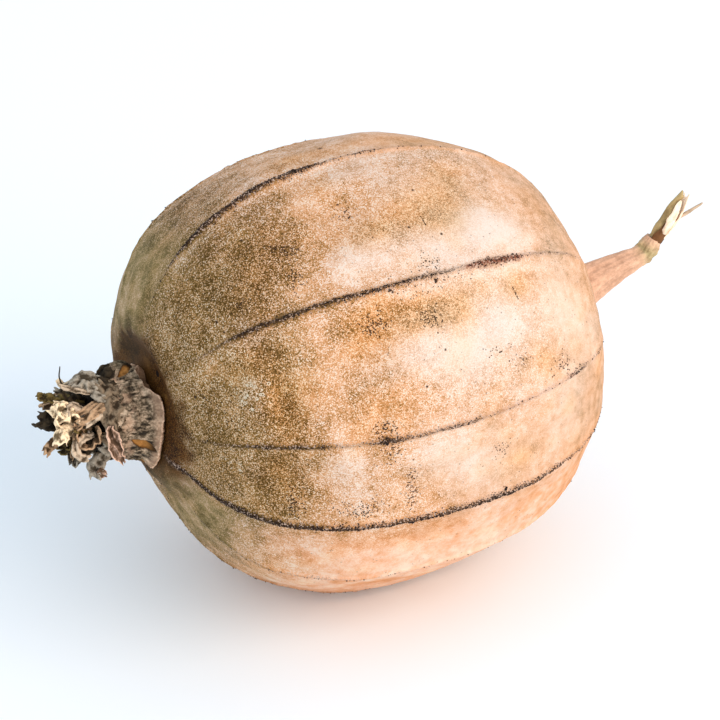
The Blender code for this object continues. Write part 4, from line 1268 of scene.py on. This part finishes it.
def collar_material():
    """Grey-brown fibrous wall, a pinkish tan rim and amber windows."""
    n = Nodes("fibrous_collar")
    place = n.fact("fibre_place", "Vector")
    fibres = n.noise(3.2, 3, 0.65, n.stretch(place, (1, 0.45, 1)))
    blotch = n.noise(1, 4, 0.65)
    speckle = n.noise(5, 2, 0.6)
    level = n.add((fibres, 1.25), (blotch, 1.25), (speckle, 1.1), (n.fact("crease"), 0.55),
                  (n.fact("fibre"), -0.7), -1.37)
    colour = n.ramp(level, *WALL_STOPS)
    lengthwise = n.fact("lengthwise")
    pinkish = n.times(n.fade(lengthwise, 2.3, 3), n.fade(blotch, 0.42, 0.62))
    pinkish = n.math("MAXIMUM", pinkish, n.fade(lengthwise, 1.1, 0.4))
    colour = n.mix(n.times(pinkish, 0.55), colour, PINKISH)
    colour = n.mix(n.times(n.fact("bulge"), 0.8), colour, BULGE_TINT, "MULTIPLY")
    torn = n.ramp(n.add((blotch, 0.6), (speckle, 0.4)), *TORN_STOPS)
    colour = n.mix(n.times(n.fact("below"), 0.8), colour, torn)
    rim = n.times(n.fade(n.fact("rim"), 0.3, 0.8), 0.85)
    colour = n.mix(rim, colour, n.ramp(speckle, *RIM_STOPS))
    window = n.fact("window")
    outline = n.times(n.fade(window, 0.02, 0.25), n.fade(window, 0.75, 0.4))
    amber = n.ramp(n.add((window, 0.6), (blotch, 1.5), -0.6), *AMBER_STOPS)
    colour = n.mix(n.fade(window, 0.2, 0.6), colour, amber)
    colour = n.mix(n.times(outline, 0.6), colour, OUTLINE)
    colour = n.mix(n.times(n.fact("corner"), 0.85), colour, CORNER)
    n.bump(n.add((fibres, 0.8), (speckle, 0.5)), 0.09, 0.6)
    return n.finish(colour, 0.8, 0.2)


# Dry tissue: contrast, the shade of its creases and its roughness
PETALS = (0.28, (0.17, 0.14, 0.10), 0.85)
WOOD = (0.46, (0.78, 0.72, 0.66), 0.7)
PALER = (1.35, 1.32, 1.28)


def fibre_material(name, contrast, shade, roughness):
    """Dry plant tissue: the piece's own tint with pale streaks, painted shade in its creases and
    a painted highlight on its edges.
    """
    n = Nodes(name)
    place = n.fact("fibre_place", "Vector")
    streaks = n.noise(3.4, 3, 0.65, n.stretch(place, (1.6, 0.4, 1)))
    blotch = n.noise(1.6, 3, 0.65)
    speckle = n.noise(5.5, 2, 0.6)
    # Painted shade in the creases and a painted highlight on the edges shift the level
    level = n.add((streaks, 0.7), (blotch, 0.8), (n.fact("fold"), 0.62), (speckle, 0.5),
                  (n.fact("edge"), 0.28), -0.83)
    dark = n.mix(1, n.fact("tint", "Vector"), shade, "MULTIPLY")
    pale = n.mix(1, n.fact("tint", "Vector"), PALER, "MULTIPLY")
    low, high = 0.5 - contrast, 0.5 + contrast
    colour = n.mix(n.fade(level, low, high), dark, pale)
    n.bump(n.add((streaks, 0.8), (n.noise(4.5, 2), 0.4)), 0.08, 0.6)
    return n.finish(colour, roughness, 0.2)


# The photographed view: direction, distance and lens of the camera, lengths in mm
VIEW_AZIMUTH = math.radians(-23.24)
VIEW_ELEVATION = math.radians(32.61)
VIEW_ROLL = math.radians(-1.59)
VIEW_TARGET = BODY_CENTRE + np.array((-0.024, 0.653, 0.52))
VIEW_DISTANCE = 591.7
SENSOR = 36
FOCAL_PIXELS = 6077
PICTURE_PIXELS = 720


def make_camera():
    flat = math.cos(VIEW_ELEVATION)
    back = Vector((math.sin(VIEW_AZIMUTH) * flat, -math.cos(VIEW_AZIMUTH) * flat,
                   math.sin(VIEW_ELEVATION)))
    data = bpy.data.cameras.new("camera")
    data.sensor_width = SENSOR
    data.lens = SENSOR * FOCAL_PIXELS / PICTURE_PIXELS
    data.clip_start = 0.01
    data.clip_end = 20
    camera = put("camera", data)
    camera.location = Vector(VIEW_TARGET * MM) + back * (VIEW_DISTANCE * MM)
    camera.rotation_mode = "QUATERNION"
    camera.rotation_quaternion = ((-back).to_track_quat("-Z", "Y")
                                  @ Quaternion((0, 0, 1), VIEW_ROLL))
    bpy.context.scene.camera = camera


# Studio: a pale floor, an even pale surround and a large soft lamp on the right
FLOOR_RADIUS = 3
FLOOR_SIDES = 96
LAMP_WAY = Vector((0.50, -0.73, 0.45)).normalized()
LAMP_DISTANCE = 1
LAMP_SIZE = 1
LAMP_COLOUR = (1, 0.79, 0.65)
LAMP_POWER = 8.7
SURROUND = (0.81, 0.89, 0.985)
SURROUND_STRENGTH = 1.06
LAMP_TARGET = Vector((0, 0, 0.02))
FLOOR_COLOUR = (0.88, 0.94, 0.97)


def make_floor():
    steps = TURN * np.arange(FLOOR_SIDES) / FLOOR_SIDES
    rim = [(FLOOR_RADIUS * math.cos(a), FLOOR_RADIUS * math.sin(a), 0) for a in steps]
    mesh = bpy.data.meshes.new("floor")
    mesh.from_pydata(rim, [], [tuple(range(FLOOR_SIDES))])
    floor = put("floor", mesh)
    material = bpy.data.materials.new("pale_floor")
    material.use_nodes = True
    shader = material.node_tree.nodes["Principled BSDF"]
    shader.inputs["Base Color"].default_value = (*FLOOR_COLOUR, 1)
    shader.inputs["Roughness"].default_value = 0.9
    shader.inputs["Specular IOR Level"].default_value = 0.1
    mesh.materials.append(material)


def make_light():
    world = bpy.data.worlds.new("surround")
    world.use_nodes = True
    background = world.node_tree.nodes["Background"]
    background.inputs["Color"].default_value = (*SURROUND, 1)
    background.inputs["Strength"].default_value = SURROUND_STRENGTH
    bpy.context.scene.world = world
    data = bpy.data.lights.new("soft_lamp", "AREA")
    data.shape = "DISK"
    data.size = LAMP_SIZE
    data.energy = LAMP_POWER
    data.color = LAMP_COLOUR
    lamp = put("soft_lamp", data)
    lamp.location = LAMP_TARGET + LAMP_WAY * LAMP_DISTANCE
    lamp.rotation_mode = "QUATERNION"
    lamp.rotation_quaternion = (-LAMP_WAY).to_track_quat("-Z", "Y")
    bpy.context.scene.view_settings.view_transform = "Standard"


make_camera()
make_floor()
make_light()
make_skin(rind_material())
make_crumbs(crumb_material())
make_collar(collar_material())
make_flower(fibre_material("withered_petals", *PETALS))
make_stalk(fibre_material("dry_stalk_wood", *WOOD))
